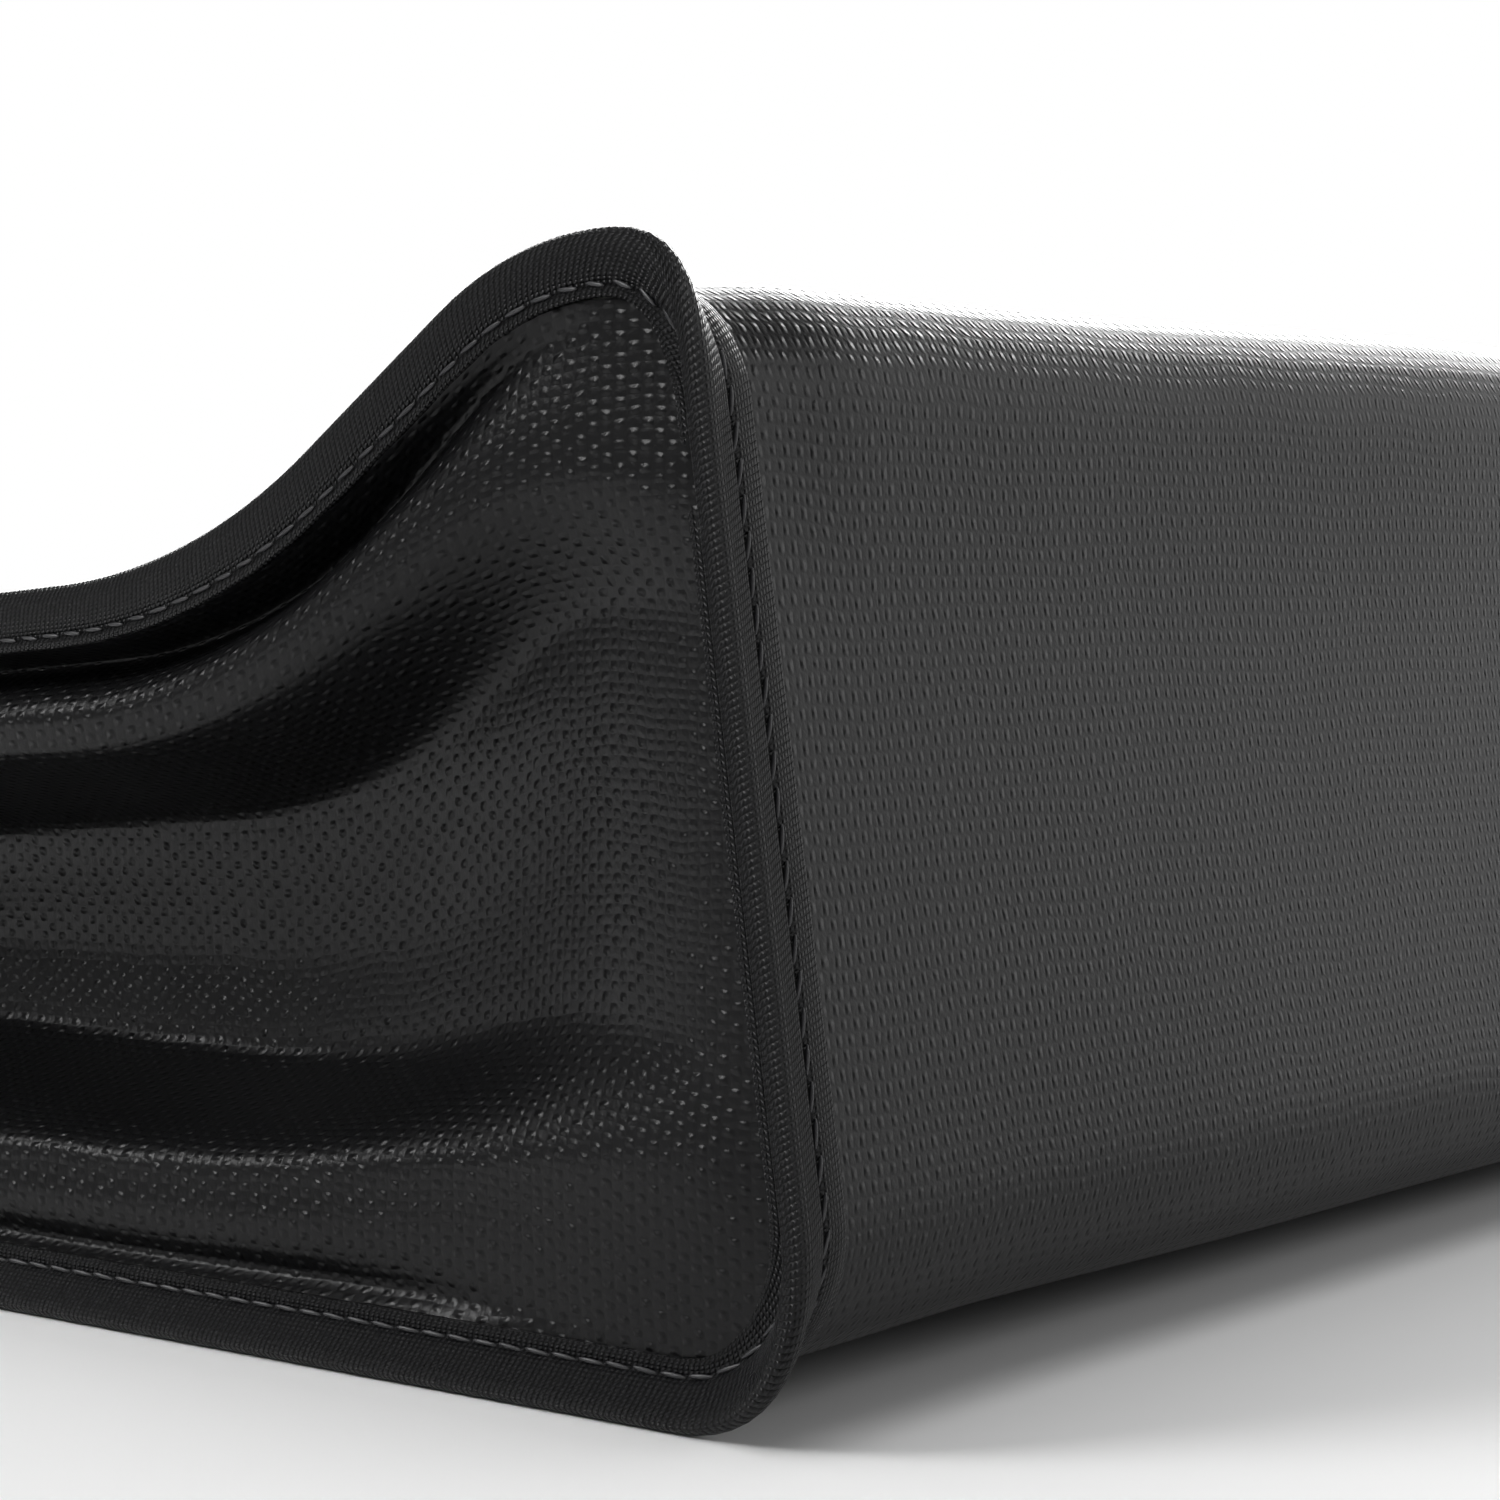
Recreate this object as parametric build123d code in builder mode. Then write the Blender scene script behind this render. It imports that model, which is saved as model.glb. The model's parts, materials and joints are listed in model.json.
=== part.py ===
"""Battery safe bag: a coated glass cloth bag that lies on its back panel, with a hook and loop flap.

X runs across the bag, Y from the base to the mouth and Z from the back panel to the front panel.
The origin is at the middle of the bag's footprint, on the floor. All sizes are in millimetres.
"""

from build123d import *
from math import atan, cos, radians, sin, sqrt, tan
import os

os.makedirs("parts", exist_ok=True)

# The whole bag
bag_width = 240.0  # over the two bound seams
bag_depth = 65.0  # from the floor to the top of the front seams
bag_height = 180.0  # along Y, from the base panel to the mouth

# Cloth, binding tape and thread
shell_thickness = 0.45
liner_thickness = 0.30
tape_thickness = 0.45
thread_thickness = 0.20
thread_width = 0.50
webbing_thickness = 1.2

# Profile of the strip that makes the back, the base and the front
base_lean = 8.3  # degrees, the base panel leans towards the mouth
back_corner_radius = 8.6
front_corner_radius = 7.2
shoulder_radius = 18.0
hill_angle = 36.0  # degrees, the steep fall behind the shoulder
hill_length = 13.0
valley_radius = 45.0
front_slope = 5.0  # degrees, the rest of the front panel

# Bound seams between the strip and the two gussets
seam_reach = 3.3  # from the stitches to the folded edge of the tape
seam_tail = 0.6  # tape behind the stitches
seam_bevel = 0.7  # roundness of the folded edge
seam_clearance = 0.1
back_tilt = 18.0  # degrees from the gusset's plane to the seam's own plane
base_tilt = 79.0
front_tilt = 5.0
stations_per_corner = 7

# Mouth
tape_leg = 5.0  # width of a binding on each face
least_fold = 0.6  # a gusset is never quite flat
gusset_tape_margin = 1.5  # from the binding on a gusset's edge to the panels
front_tape_margin = 4.5  # from the binding on the front panel's edge to the panel's end

# Flap
flap_side_gap = 2.5  # from the flap's edge to the end of the panels
body_clearance = 0.3  # between pieces that move against each other
lip_length = 60.0
lip_corner_radius = 18.0
fold_relief = 1.5  # bindings stop this far from a fold

# Hook and loop
loop_width = 25.0
loop_margin = 12.7  # from the loop strip's end to the panel's end
hook_width = 19.0
hook_margin = 13.2  # from the hook strip's end to the flap's edge
strip_thickness = 1.5
strip_margin = 1.5  # from a strip's edge to its stitches
strip_centre = 42.0  # along the lip, from its fold

# Pull tab
tab_width = 25.0
tab_length = 26.0
tab_hem = 7.0
tab_anchor_length = 5.5
tab_hinge_gap = 0.9

# Sizes that follow
panel_thickness = shell_thickness + liner_thickness
seam_half = panel_thickness + tape_thickness
seam_flat = seam_half - seam_bevel
seam_foot = 2 * seam_flat * tan(radians(back_tilt))  # sets the folded edge flat on the floor
folded_edge = [
    (seam_reach - seam_bevel, -seam_half),
    (seam_reach - seam_foot, -seam_flat),
    (seam_reach, seam_flat),
    (seam_reach - seam_bevel, seam_half),
]


def turned(angle):
    """The unit vector in the profile's plane at an angle from +Y towards +Z."""
    return Vector(cos(radians(angle)), sin(radians(angle)))


def seam_sink(tilt):
    """How far the seam's middle lies under the panel's outer face."""
    return panel_thickness * sin(radians(tilt))


def seam_rise(tilt):
    """How far the seam's folded edge stands out of the panel's outer face."""
    rises = [reach * cos(radians(tilt)) - across * sin(radians(tilt)) for reach, across in folded_edge]
    return max(rises) - seam_sink(tilt)


def seam_offset(tilt):
    """How far the stitch line lies outside the panel's end."""
    back = seam_tail * sin(radians(tilt))
    side = (seam_half + thread_thickness) * cos(radians(tilt))
    return seam_clearance + back + side


widest = seam_offset(base_tilt) + seam_reach * sin(radians(base_tilt))
panel_half = bag_width / 2 - widest - seam_flat * cos(radians(base_tilt))
back_z = seam_rise(back_tilt)
front_z = bag_depth - seam_rise(front_tilt)
spine_gap = tape_thickness + body_clearance + tape_thickness
spine_reach = spine_gap + panel_thickness + tape_thickness
base_y = -(bag_height + spine_reach - seam_rise(base_tilt)) / 2
mouth_y = base_y + bag_height

# Corners of the profile: centre, radius (negative where hollow), first and last outward angle
base_angle = 180 - base_lean
base_normal = turned(base_angle)
base_up = Vector(sin(radians(base_lean)), cos(radians(base_lean)))
hill_normal = turned(90 - hill_angle)
hill_down = Vector(cos(radians(hill_angle)), -sin(radians(hill_angle)))
front_down = Vector(cos(radians(front_slope)), -sin(radians(front_slope)))

back_corner = Vector(base_y + back_corner_radius, back_z + back_corner_radius)
side_step = back_corner + base_normal * (back_corner_radius - front_corner_radius)
base_rise = (front_z - front_corner_radius - side_step.Y) / base_up.Y
front_corner = side_step + base_up * base_rise
shoulder_centre = Vector(front_corner.X, front_z - shoulder_radius)
hill_top = shoulder_centre + hill_normal * shoulder_radius
hill_foot = hill_top + hill_down * hill_length
valley_centre = hill_foot + hill_normal * valley_radius
corners = [
    (back_corner, back_corner_radius, 270, base_angle),
    (front_corner, front_corner_radius, base_angle, 90),
    (shoulder_centre, shoulder_radius, 90, 90 - hill_angle),
    (valley_centre, -valley_radius, 90 - hill_angle, 90 - front_slope),
]
valley_end = valley_centre - turned(90 - front_slope) * valley_radius


def front_height(y):
    """Height of the front panel's outer face on its straight stretch."""
    return valley_end.Y - (y - valley_end.X) * tan(radians(front_slope))


def outline(inset, end_y=mouth_y):
    """The profile's region, from the base to the mouth, at a depth under the outer face."""
    low = Vector(end_y, back_z + inset)
    high = Vector(end_y, front_height(end_y) - inset / cos(radians(front_slope)))
    with BuildSketch(Plane.YZ) as region:
        with BuildLine() as edge:
            previous = low
            for centre, radius, first, last in corners:
                size = radius - inset
                start = first if size > 0 else first + 180
                begin = centre + turned(first) * size
                if (begin - previous).length > seam_clearance:
                    Line(previous, begin)
                CenterArc(centre, abs(size), start, last - first)
                previous = centre + turned(last) * size
            Line(previous, high)
            Line(high, low)
        make_face()
    return region.sketch


def wrap_layer(near, far):
    """One layer of the strip between two depths under its outer face."""
    with BuildPart() as layer:
        extrude(outline(near), amount=panel_half, dir=(1, 0, 0), both=True)
        extrude(outline(far), amount=panel_half, dir=(1, 0, 0), both=True, mode=Mode.SUBTRACT)
    return layer.part


def gusset_section(y, top, near, far, side):
    """A gusset's folded cross-section between two depths, as a face across the bag."""
    half = (top - back_z) / 2
    slack = max(((front_z - back_z) / 2) ** 2 - half**2, 0)
    fold = max(sqrt(slack), least_fold)
    slant = cos(atan(fold / half))
    outer = panel_half - near / slant
    inner = panel_half - far / slant
    middle = back_z + half
    high = front_z + seam_reach
    low = back_z - seam_reach
    points = [
        (outer, high),
        (outer, top),
        (outer - fold, middle),
        (outer, back_z),
        (outer, low),
        (inner, low),
        (inner, back_z),
        (inner - fold, middle),
        (inner, top),
        (inner, high),
    ]
    place = Plane(origin=(0, y, 0), x_dir=(1, 0, 0), z_dir=(0, -1, 0))
    with BuildSketch(place) as section:
        with BuildLine():
            Polyline(*[(side * x, z) for x, z in points], close=True)
        make_face()
    return section.sketch


def gusset_band(nodes, near, far, side, region):
    """A band of a gusset through front panel points, between two depths, cut to a region."""
    with BuildPart() as band:
        for node in nodes:
            add(gusset_section(node.X, node.Y, near, far, side))
        loft(ruled=True)
        extrude(region, amount=bag_width, dir=(side, 0, 0), mode=Mode.INTERSECT)
    return band.part


def gusset_layer(near, far, side):
    """One whole layer of a gusset, flat at the base and folded inwards at the mouth."""
    valley_middle = valley_centre - turned(90 - (hill_angle + front_slope) / 2) * valley_radius
    nodes = [
        Vector(base_y - seam_reach, front_z),
        front_corner + Vector(0, front_corner_radius),
        hill_top,
        hill_foot,
        valley_middle,
        valley_end,
        Vector(mouth_y, front_height(mouth_y)),
    ]
    return gusset_band(nodes, near, far, side, outline(panel_thickness))


def seam_stations():
    """Points along a seam from the back mouth to the front mouth: y, z, outward angle, tilt."""
    tilts = [back_tilt, base_tilt, front_tilt, front_tilt, front_tilt]
    stations = [(mouth_y, back_z, 270, back_tilt)]
    for index, (centre, radius, first, last) in enumerate(corners):
        follows_arc = index > 0 and centre.X == corners[index - 1][0].X
        first_step = 1 if follows_arc else 0
        for step in range(first_step, stations_per_corner + 1):
            share = step / stations_per_corner
            angle = first + (last - first) * share
            ease = share * share * (3 - 2 * share)
            tilt = tilts[index] + (tilts[index + 1] - tilts[index]) * ease
            point = centre + turned(angle) * radius
            stations.append((point.X, point.Y, angle, tilt))
    stations.append((mouth_y, front_height(mouth_y), 90 - front_slope, front_tilt))
    return stations


def seam_plane(station, side):
    """The plane across a seam: x along the seam's own reach, z along the seam."""
    y, z, angle, tilt = station
    normal = turned(angle)
    point = Vector(y, z) - normal * seam_sink(tilt)
    reach = Vector(side * sin(radians(tilt)), normal.X * cos(radians(tilt)), normal.Y * cos(radians(tilt)))
    origin = (side * (panel_half + seam_offset(tilt)), point.X, point.Y)
    return Plane(origin=origin, x_dir=reach, z_dir=(0, normal.Y, -normal.X))


def seam_strip(points, side):
    """A strip with one cross-section, carried along the whole seam."""
    with BuildPart() as strip:
        for station in seam_stations():
            with BuildSketch(seam_plane(station, side)):
                with BuildLine():
                    Polyline(*[(reach, side * across) for reach, across in points], close=True)
                make_face()
        loft(ruled=True)
    return strip.part


def box_points(low_x, low_y, high_x, high_y):
    """The corners of a rectangle."""
    return [(low_x, low_y), (high_x, low_y), (high_x, high_y), (low_x, high_y)]


allowance_points = [
    (-seam_tail, panel_thickness),
    (seam_reach - tape_thickness, panel_thickness),
    (seam_reach - seam_foot - tape_thickness, -panel_thickness),
    (-seam_tail, -panel_thickness),
]
tape_points = [(-seam_tail, -seam_half), *folded_edge, (-seam_tail, seam_half), *allowance_points]
outer_thread_points = box_points(-thread_width / 2, seam_half, thread_width / 2, seam_half + thread_thickness)
inner_thread_points = box_points(-thread_width / 2, -seam_half - thread_thickness, thread_width / 2, -seam_half)

finished = []


def finish(part, label):
    """Name a finished piece and keep it for export."""
    part.label = label
    finished.append(part)


# Back, base and front: one strip in two layers
finish(wrap_layer(0, shell_thickness), "wrap_shell")
finish(wrap_layer(shell_thickness, panel_thickness), "wrap_liner")

# Gussets, their bound seams and the binding on their mouth edge
for name, side in (("left", -1), ("right", 1)):
    gusset_shell = gusset_layer(0, shell_thickness, side)
    gusset_liner = gusset_layer(shell_thickness, panel_thickness, side)
    finish(gusset_shell, f"{name}_gusset_shell")
    finish(gusset_liner, f"{name}_gusset_liner")
    finish(seam_strip(allowance_points, side), f"{name}_seam_allowance")
    finish(seam_strip(tape_points, side), f"{name}_seam_binding")

    with BuildPart() as seam_stitching:
        add(seam_strip(outer_thread_points, side))
        add(seam_strip(inner_thread_points, side))
    finish(seam_stitching.part, f"{name}_seam_stitching")

    cover_ends = [mouth_y - tape_leg, mouth_y + tape_thickness]
    cover_nodes = [Vector(y, front_height(y)) for y in cover_ends]
    cover_region = outline(panel_thickness + gusset_tape_margin, cover_ends[1])
    cover_far = panel_thickness + tape_thickness
    with BuildPart() as mouth_binding:
        add(gusset_band(cover_nodes, -tape_thickness, cover_far, side, cover_region))
        add([gusset_shell, gusset_liner], mode=Mode.SUBTRACT)
    finish(mouth_binding.part, f"{name}_mouth_binding")

# Planes on the front panel's outer face and on the lip's inner face, both with y towards the fold
slope_normal = (0, sin(radians(front_slope)), cos(radians(front_slope)))
spine_inner_y = mouth_y + spine_gap
lip_lift = 2 * strip_thickness + body_clearance
fold_y = spine_inner_y + panel_thickness / 2
panel_place = Plane(origin=(0, fold_y, front_height(fold_y)), x_dir=(1, 0, 0), z_dir=slope_normal)
lip_place = panel_place.offset(lip_lift)

# Binding on the front panel's mouth edge
front_tape_half = panel_half - front_tape_margin
mouth_edge = -(fold_y - mouth_y) / cos(radians(front_slope))
with BuildPart() as mouth_front_binding:
    with BuildSketch(panel_place.offset(tape_thickness)) as tape_cover:
        with Locations((0, mouth_edge + (tape_thickness - tape_leg) / 2)):
            Rectangle(2 * front_tape_half, tape_leg + tape_thickness)
    extrude(amount=-(panel_thickness + 2 * tape_thickness))
    add(wrap_layer(0, panel_thickness), mode=Mode.SUBTRACT)
finish(mouth_front_binding.part, "mouth_front_binding")

with BuildPart() as mouth_front_stitching:
    with BuildSketch(panel_place.offset(tape_thickness)):
        with Locations((0, mouth_edge - tape_leg + thread_width)):
            Rectangle(2 * front_tape_half - tape_leg, thread_width)
    extrude(amount=thread_thickness)
finish(mouth_front_stitching.part, "mouth_front_stitching")

# Loop strip on the front panel
loop_length = 2 * (panel_half - loop_margin)
with BuildPart() as loop_strip:
    with BuildSketch(panel_place):
        with Locations((0, -strip_centre)):
            Rectangle(loop_length, loop_width)
    extrude(amount=strip_thickness)
finish(loop_strip.part, "loop_strip")

with BuildPart() as loop_strip_stitching:
    with BuildSketch(panel_place.offset(strip_thickness)):
        with Locations((0, -strip_centre)):
            Rectangle(loop_length - 2 * strip_margin, loop_width - 2 * strip_margin)
            inner_length = loop_length - 2 * strip_margin - 2 * thread_width
            inner_width = loop_width - 2 * strip_margin - 2 * thread_width
            Rectangle(inner_length, inner_width, mode=Mode.SUBTRACT)
    extrude(amount=thread_thickness)
finish(loop_strip_stitching.part, "loop_strip_stitching")

# Spine of the flap: the strip that closes the mouth, hinged at the back panel
flap_half = panel_half - flap_side_gap
cut_width = 2 * bag_width  # reaches past both sides
spine_top = lip_place.origin.Z - body_clearance
spine_height = spine_top - back_z
spine_place = Plane(origin=(0, spine_inner_y, back_z + spine_height / 2), x_dir=(-1, 0, 0), z_dir=(0, 1, 0))


def spine_layer(near, far):
    """One layer of the spine between two depths from its inner face."""
    with BuildPart() as layer:
        with BuildSketch(spine_place.offset(near)):
            Rectangle(2 * flap_half, spine_height)
        extrude(amount=far - near)
    return layer.part


spine_liner = spine_layer(0, liner_thickness)
spine_shell = spine_layer(liner_thickness, panel_thickness)
finish(spine_shell, "spine_shell")
finish(spine_liner, "spine_liner")

for name, side in (("left", 1), ("right", -1)):
    with BuildPart() as spine_binding:
        with BuildSketch(spine_place.offset(-tape_thickness)):
            with Locations((side * (flap_half - (tape_leg - tape_thickness) / 2), 0)):
                Rectangle(tape_leg + tape_thickness, spine_height - 2 * fold_relief)
        extrude(amount=panel_thickness + 2 * tape_thickness)
        add([spine_shell, spine_liner], mode=Mode.SUBTRACT)
    finish(spine_binding.part, f"{name}_spine_binding")


# Lip of the flap: the part that lies over the front panel, hinged at the spine
def lip_outline(grow, length):
    """The lip's outline with rounded free corners, grown by an amount, as a sketch on the lip's plane."""
    width = 2 * (flap_half + grow)
    with BuildSketch() as shape:
        with Locations((0, -length / 2)):
            Rectangle(width, length)
        fillet(shape.vertices().group_by(Axis.Y)[0], lip_corner_radius + grow)
    return shape.sketch


def lip_layer(near, far):
    """One layer of the lip between two heights over its inner face."""
    with BuildPart() as layer:
        with BuildSketch(lip_place.offset(near)):
            add(lip_outline(0, lip_length))
        extrude(amount=far - near)
    return layer.part


lip_liner = lip_layer(0, liner_thickness)
lip_shell = lip_layer(liner_thickness, panel_thickness)
finish(lip_shell, "lip_shell")
finish(lip_liner, "lip_liner")

with BuildPart() as lip_binding:
    with BuildSketch(lip_place.offset(-tape_thickness)):
        add(lip_outline(tape_thickness, lip_length + tape_thickness))
        add(lip_outline(-tape_leg, lip_length - tape_leg), mode=Mode.SUBTRACT)
        Rectangle(cut_width, 2 * fold_relief, mode=Mode.SUBTRACT)
    extrude(amount=panel_thickness + 2 * tape_thickness)
    add([lip_shell, lip_liner], mode=Mode.SUBTRACT)
finish(lip_binding.part, "lip_binding")

with BuildPart() as lip_binding_stitching:
    with BuildSketch(lip_place.offset(panel_thickness + tape_thickness)):
        outer_inset = tape_leg - 2 * thread_width
        inner_inset = tape_leg - thread_width
        add(lip_outline(-outer_inset, lip_length - outer_inset))
        add(lip_outline(-inner_inset, lip_length - inner_inset), mode=Mode.SUBTRACT)
        Rectangle(cut_width, 2 * fold_relief, mode=Mode.SUBTRACT)
    extrude(amount=thread_thickness)
finish(lip_binding_stitching.part, "lip_binding_stitching")

# Hook strip under the lip
hook_length = 2 * (flap_half - hook_margin)
with BuildPart() as hook_strip:
    with BuildSketch(lip_place):
        with Locations((0, -strip_centre)):
            Rectangle(hook_length, hook_width)
    extrude(amount=-strip_thickness)
finish(hook_strip.part, "hook_strip")

with BuildPart() as hook_strip_stitching:
    with BuildSketch(lip_place.offset(panel_thickness)):
        with Locations((0, -strip_centre)):
            Rectangle(hook_length - 2 * strip_margin, hook_width - 2 * strip_margin)
            inner_length = hook_length - 2 * strip_margin - 2 * thread_width
            inner_width = hook_width - 2 * strip_margin - 2 * thread_width
            Rectangle(inner_length, inner_width, mode=Mode.SUBTRACT)
    extrude(amount=thread_thickness)
finish(hook_strip_stitching.part, "hook_strip_stitching")

# Pull tab: its sewn end under the lip's free edge, and the free end that bends up
tab_place = lip_place.offset(-tape_thickness)
lip_edge = -(lip_length + tape_thickness)
with BuildPart() as pull_tab_anchor:
    with BuildSketch(tab_place):
        with Locations((0, lip_edge + tab_anchor_length / 2)):
            Rectangle(tab_width, tab_anchor_length)
    extrude(amount=-webbing_thickness)
finish(pull_tab_anchor.part, "pull_tab_anchor")

tab_start = lip_edge - tab_hinge_gap
with BuildPart() as pull_tab:
    with BuildSketch(tab_place):
        with Locations((0, tab_start - tab_length / 2)):
            Rectangle(tab_width, tab_length)
    extrude(amount=-webbing_thickness)
    with BuildSketch(tab_place):
        with Locations((0, tab_start - tab_length + tab_hem / 2)):
            Rectangle(tab_width, tab_hem)
    extrude(amount=webbing_thickness)
finish(pull_tab.part, "pull_tab")

with BuildPart() as pull_tab_stitching:
    with BuildSketch(tab_place.offset(webbing_thickness)):
        with Locations((0, tab_start - tab_length + tab_hem - 2 * thread_width)):
            Rectangle(tab_width - 2 * strip_margin, thread_width)
    extrude(amount=thread_thickness)
finish(pull_tab_stitching.part, "pull_tab_stitching")

for piece in finished:
    export_step(piece, f"parts/{piece.label}.step")
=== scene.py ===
import bpy
import bmesh
import json
from math import cos, hypot, pi, radians, sin, sqrt, tan
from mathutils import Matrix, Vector, noise
from random import Random

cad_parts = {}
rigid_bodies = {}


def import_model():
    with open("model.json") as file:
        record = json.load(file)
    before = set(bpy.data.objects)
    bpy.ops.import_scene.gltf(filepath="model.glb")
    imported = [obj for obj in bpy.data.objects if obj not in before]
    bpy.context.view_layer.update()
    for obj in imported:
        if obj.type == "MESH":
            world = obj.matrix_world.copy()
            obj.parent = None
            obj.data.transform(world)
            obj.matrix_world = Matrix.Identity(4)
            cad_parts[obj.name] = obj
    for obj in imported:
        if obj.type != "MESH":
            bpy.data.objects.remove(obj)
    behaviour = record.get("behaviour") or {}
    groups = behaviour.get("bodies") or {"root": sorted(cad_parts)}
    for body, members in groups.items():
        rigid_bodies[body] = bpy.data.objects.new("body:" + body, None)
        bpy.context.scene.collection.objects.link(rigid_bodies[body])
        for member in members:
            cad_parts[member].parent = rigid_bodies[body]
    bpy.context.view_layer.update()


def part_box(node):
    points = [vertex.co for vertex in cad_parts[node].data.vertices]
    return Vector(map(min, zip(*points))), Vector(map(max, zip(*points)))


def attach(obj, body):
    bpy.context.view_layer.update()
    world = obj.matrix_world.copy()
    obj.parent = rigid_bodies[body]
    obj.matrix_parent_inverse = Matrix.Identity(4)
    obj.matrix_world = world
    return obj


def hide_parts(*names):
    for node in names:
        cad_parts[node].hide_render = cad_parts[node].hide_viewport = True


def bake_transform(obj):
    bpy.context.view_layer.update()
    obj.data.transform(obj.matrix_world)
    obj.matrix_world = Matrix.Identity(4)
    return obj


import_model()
mm = 0.001  # shapes are worked out in millimetres and written to meshes in metres

for item in list(bpy.data.objects):
    if item.type in {"LIGHT", "CAMERA"}:
        bpy.data.objects.remove(item)


def boxOf(node):
    low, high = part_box(node)
    return Vector(low) / mm, Vector(high) / mm


wrapLow, wrapHigh = boxOf("wrap_shell")
lipLow, lipHigh = boxOf("lip_shell")
spineHigh = boxOf("spine_shell")[1]
loopLow, loopHigh = boxOf("loop_strip")
hookLow, hookHigh = boxOf("hook_strip")
tabLow, tabHigh = boxOf("pull_tab")
anchorHigh = boxOf("pull_tab_anchor")[1]
mouthTapeHigh = boxOf("mouth_front_binding")[1]

# The bag's profile, and what it is made of: sizes here and below are in millimetres, angles in degrees
bag = {
    "baseLean": 8.3,
    "backCornerRadius": 8.6,
    "frontCornerRadius": 7.2,
    "shoulderRadius": 18.0,
    "hillAngle": 36.0,  # the front panel's fall behind the shoulder
    "hillLength": 13.0,
    "valleyRadius": 45.0,
    "frontSlope": 5.0,
    "shell": 0.45,  # thickness of the coated cloth
    "lining": 0.30,
    "tape": 0.45,
    "tapeLeg": 5.0,  # how far the tape reaches in from a bound edge
    "sheetStep": 2.0,
    "liningStep": 4.0,
}
panelHalf, baseY, mouthY = wrapHigh.x, wrapLow.y, wrapHigh.y
backZ, frontZ = wrapLow.z, wrapHigh.z
cloth = bag["shell"] + bag["lining"]


def addNode(tree, kind, inputs=None, **settings):
    # An input is a value, a socket, or a node whose first output is taken
    node = tree.nodes.new(kind)
    for name, value in settings.items():
        setattr(node, name, value)
    for key, value in (inputs or {}).items():
        source = value.outputs[0] if isinstance(value, bpy.types.Node) else value
        if isinstance(source, bpy.types.NodeSocket):
            tree.links.new(source, node.inputs[key])
        else:
            node.inputs[key].default_value = source
    return node


def colour(hexValue):
    channels = [int(hexValue[i:i + 2], 16) / 255 for i in (1, 3, 5)]
    return (*[c / 12.92 if c <= 0.04045 else ((c + 0.055) / 1.055) ** 2.4 for c in channels], 1)


def newMaterial(name):
    material = bpy.data.materials.new(name)
    material.use_nodes = True
    material.node_tree.nodes.clear()
    return material, material.node_tree


def addSurface(tree, height, share, colours, inputs, relief=mm, strength=1.0):
    # Ends a material: its relief, a tone between two colours, and the rest of its surface
    bump = addNode(tree, "ShaderNodeBump", {"Strength": strength, "Distance": relief, "Height": height})
    tone = addNode(tree, "ShaderNodeMix", {0: share, 6: colours[0], 7: colours[1]}, data_type="RGBA")
    shader = addNode(tree, "ShaderNodeBsdfPrincipled", {**inputs, "Base Color": tone.outputs[2], "Normal": bump})
    addNode(tree, "ShaderNodeOutputMaterial", {"Surface": shader})


def clothCoordinates(tree):
    uv = addNode(tree, "ShaderNodeUVMap", uv_map="cloth")
    parts = addNode(tree, "ShaderNodeSeparateXYZ", {0: uv})
    return uv, parts.outputs[0], parts.outputs[1]


def weaveHeight(tree, u, v, pitchU, pitchV, lower=0.55, peak=1.15):
    # Plain weave: rounded crowns of one set of yarns, and lower ones of the other set between them
    angleU = addNode(tree, "ShaderNodeMath", {0: u, 1: pi / pitchU}, operation="MULTIPLY")
    angleV = addNode(tree, "ShaderNodeMath", {0: v, 1: pi / pitchV}, operation="MULTIPLY")
    waveU = addNode(tree, "ShaderNodeMath", {0: angleU}, operation="SINE")
    waveV = addNode(tree, "ShaderNodeMath", {0: angleV}, operation="SINE")
    cross = addNode(tree, "ShaderNodeMath", {0: waveU, 1: waveV}, operation="MULTIPLY")
    upper = addNode(tree, "ShaderNodeMath", {0: cross, 1: 0.0}, operation="MAXIMUM")
    under = addNode(tree, "ShaderNodeMath", {0: cross, 1: -lower}, operation="MULTIPLY")
    lowCrowns = addNode(tree, "ShaderNodeMath", {0: under, 1: 0.0}, operation="MAXIMUM")
    highCrowns = addNode(tree, "ShaderNodeMath", {0: upper, 1: peak}, operation="POWER")
    return addNode(tree, "ShaderNodeMath", {0: highCrowns, 1: lowCrowns}, operation="ADD")


coatedCloth = {
    "colour": "#070708",
    "worn": "#0d0d0e",
    "specular": 0.28,
    "roughness": 0.29,
    "patches": 0.10,  # how much rougher the dullest patches are
    "warpPitch": 0.58,  # from yarn to yarn
    "weftPitch": 0.88,
    "warpDrift": 1.5,  # how far the yarns wander
    "weftDrift": 1.8,
    "crown": 0.09,  # from the hollows to the crowns
    "crownSpread": 1.8,  # some crowns are taller and others nearly flat
    "crownLeast": -0.1,
    "lowerCrown": 0.22,  # the other set of yarns, as a share of the first
    "peak": 1.7,
    "skin": 0.035,  # the rubber's own fine waves
}


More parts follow.
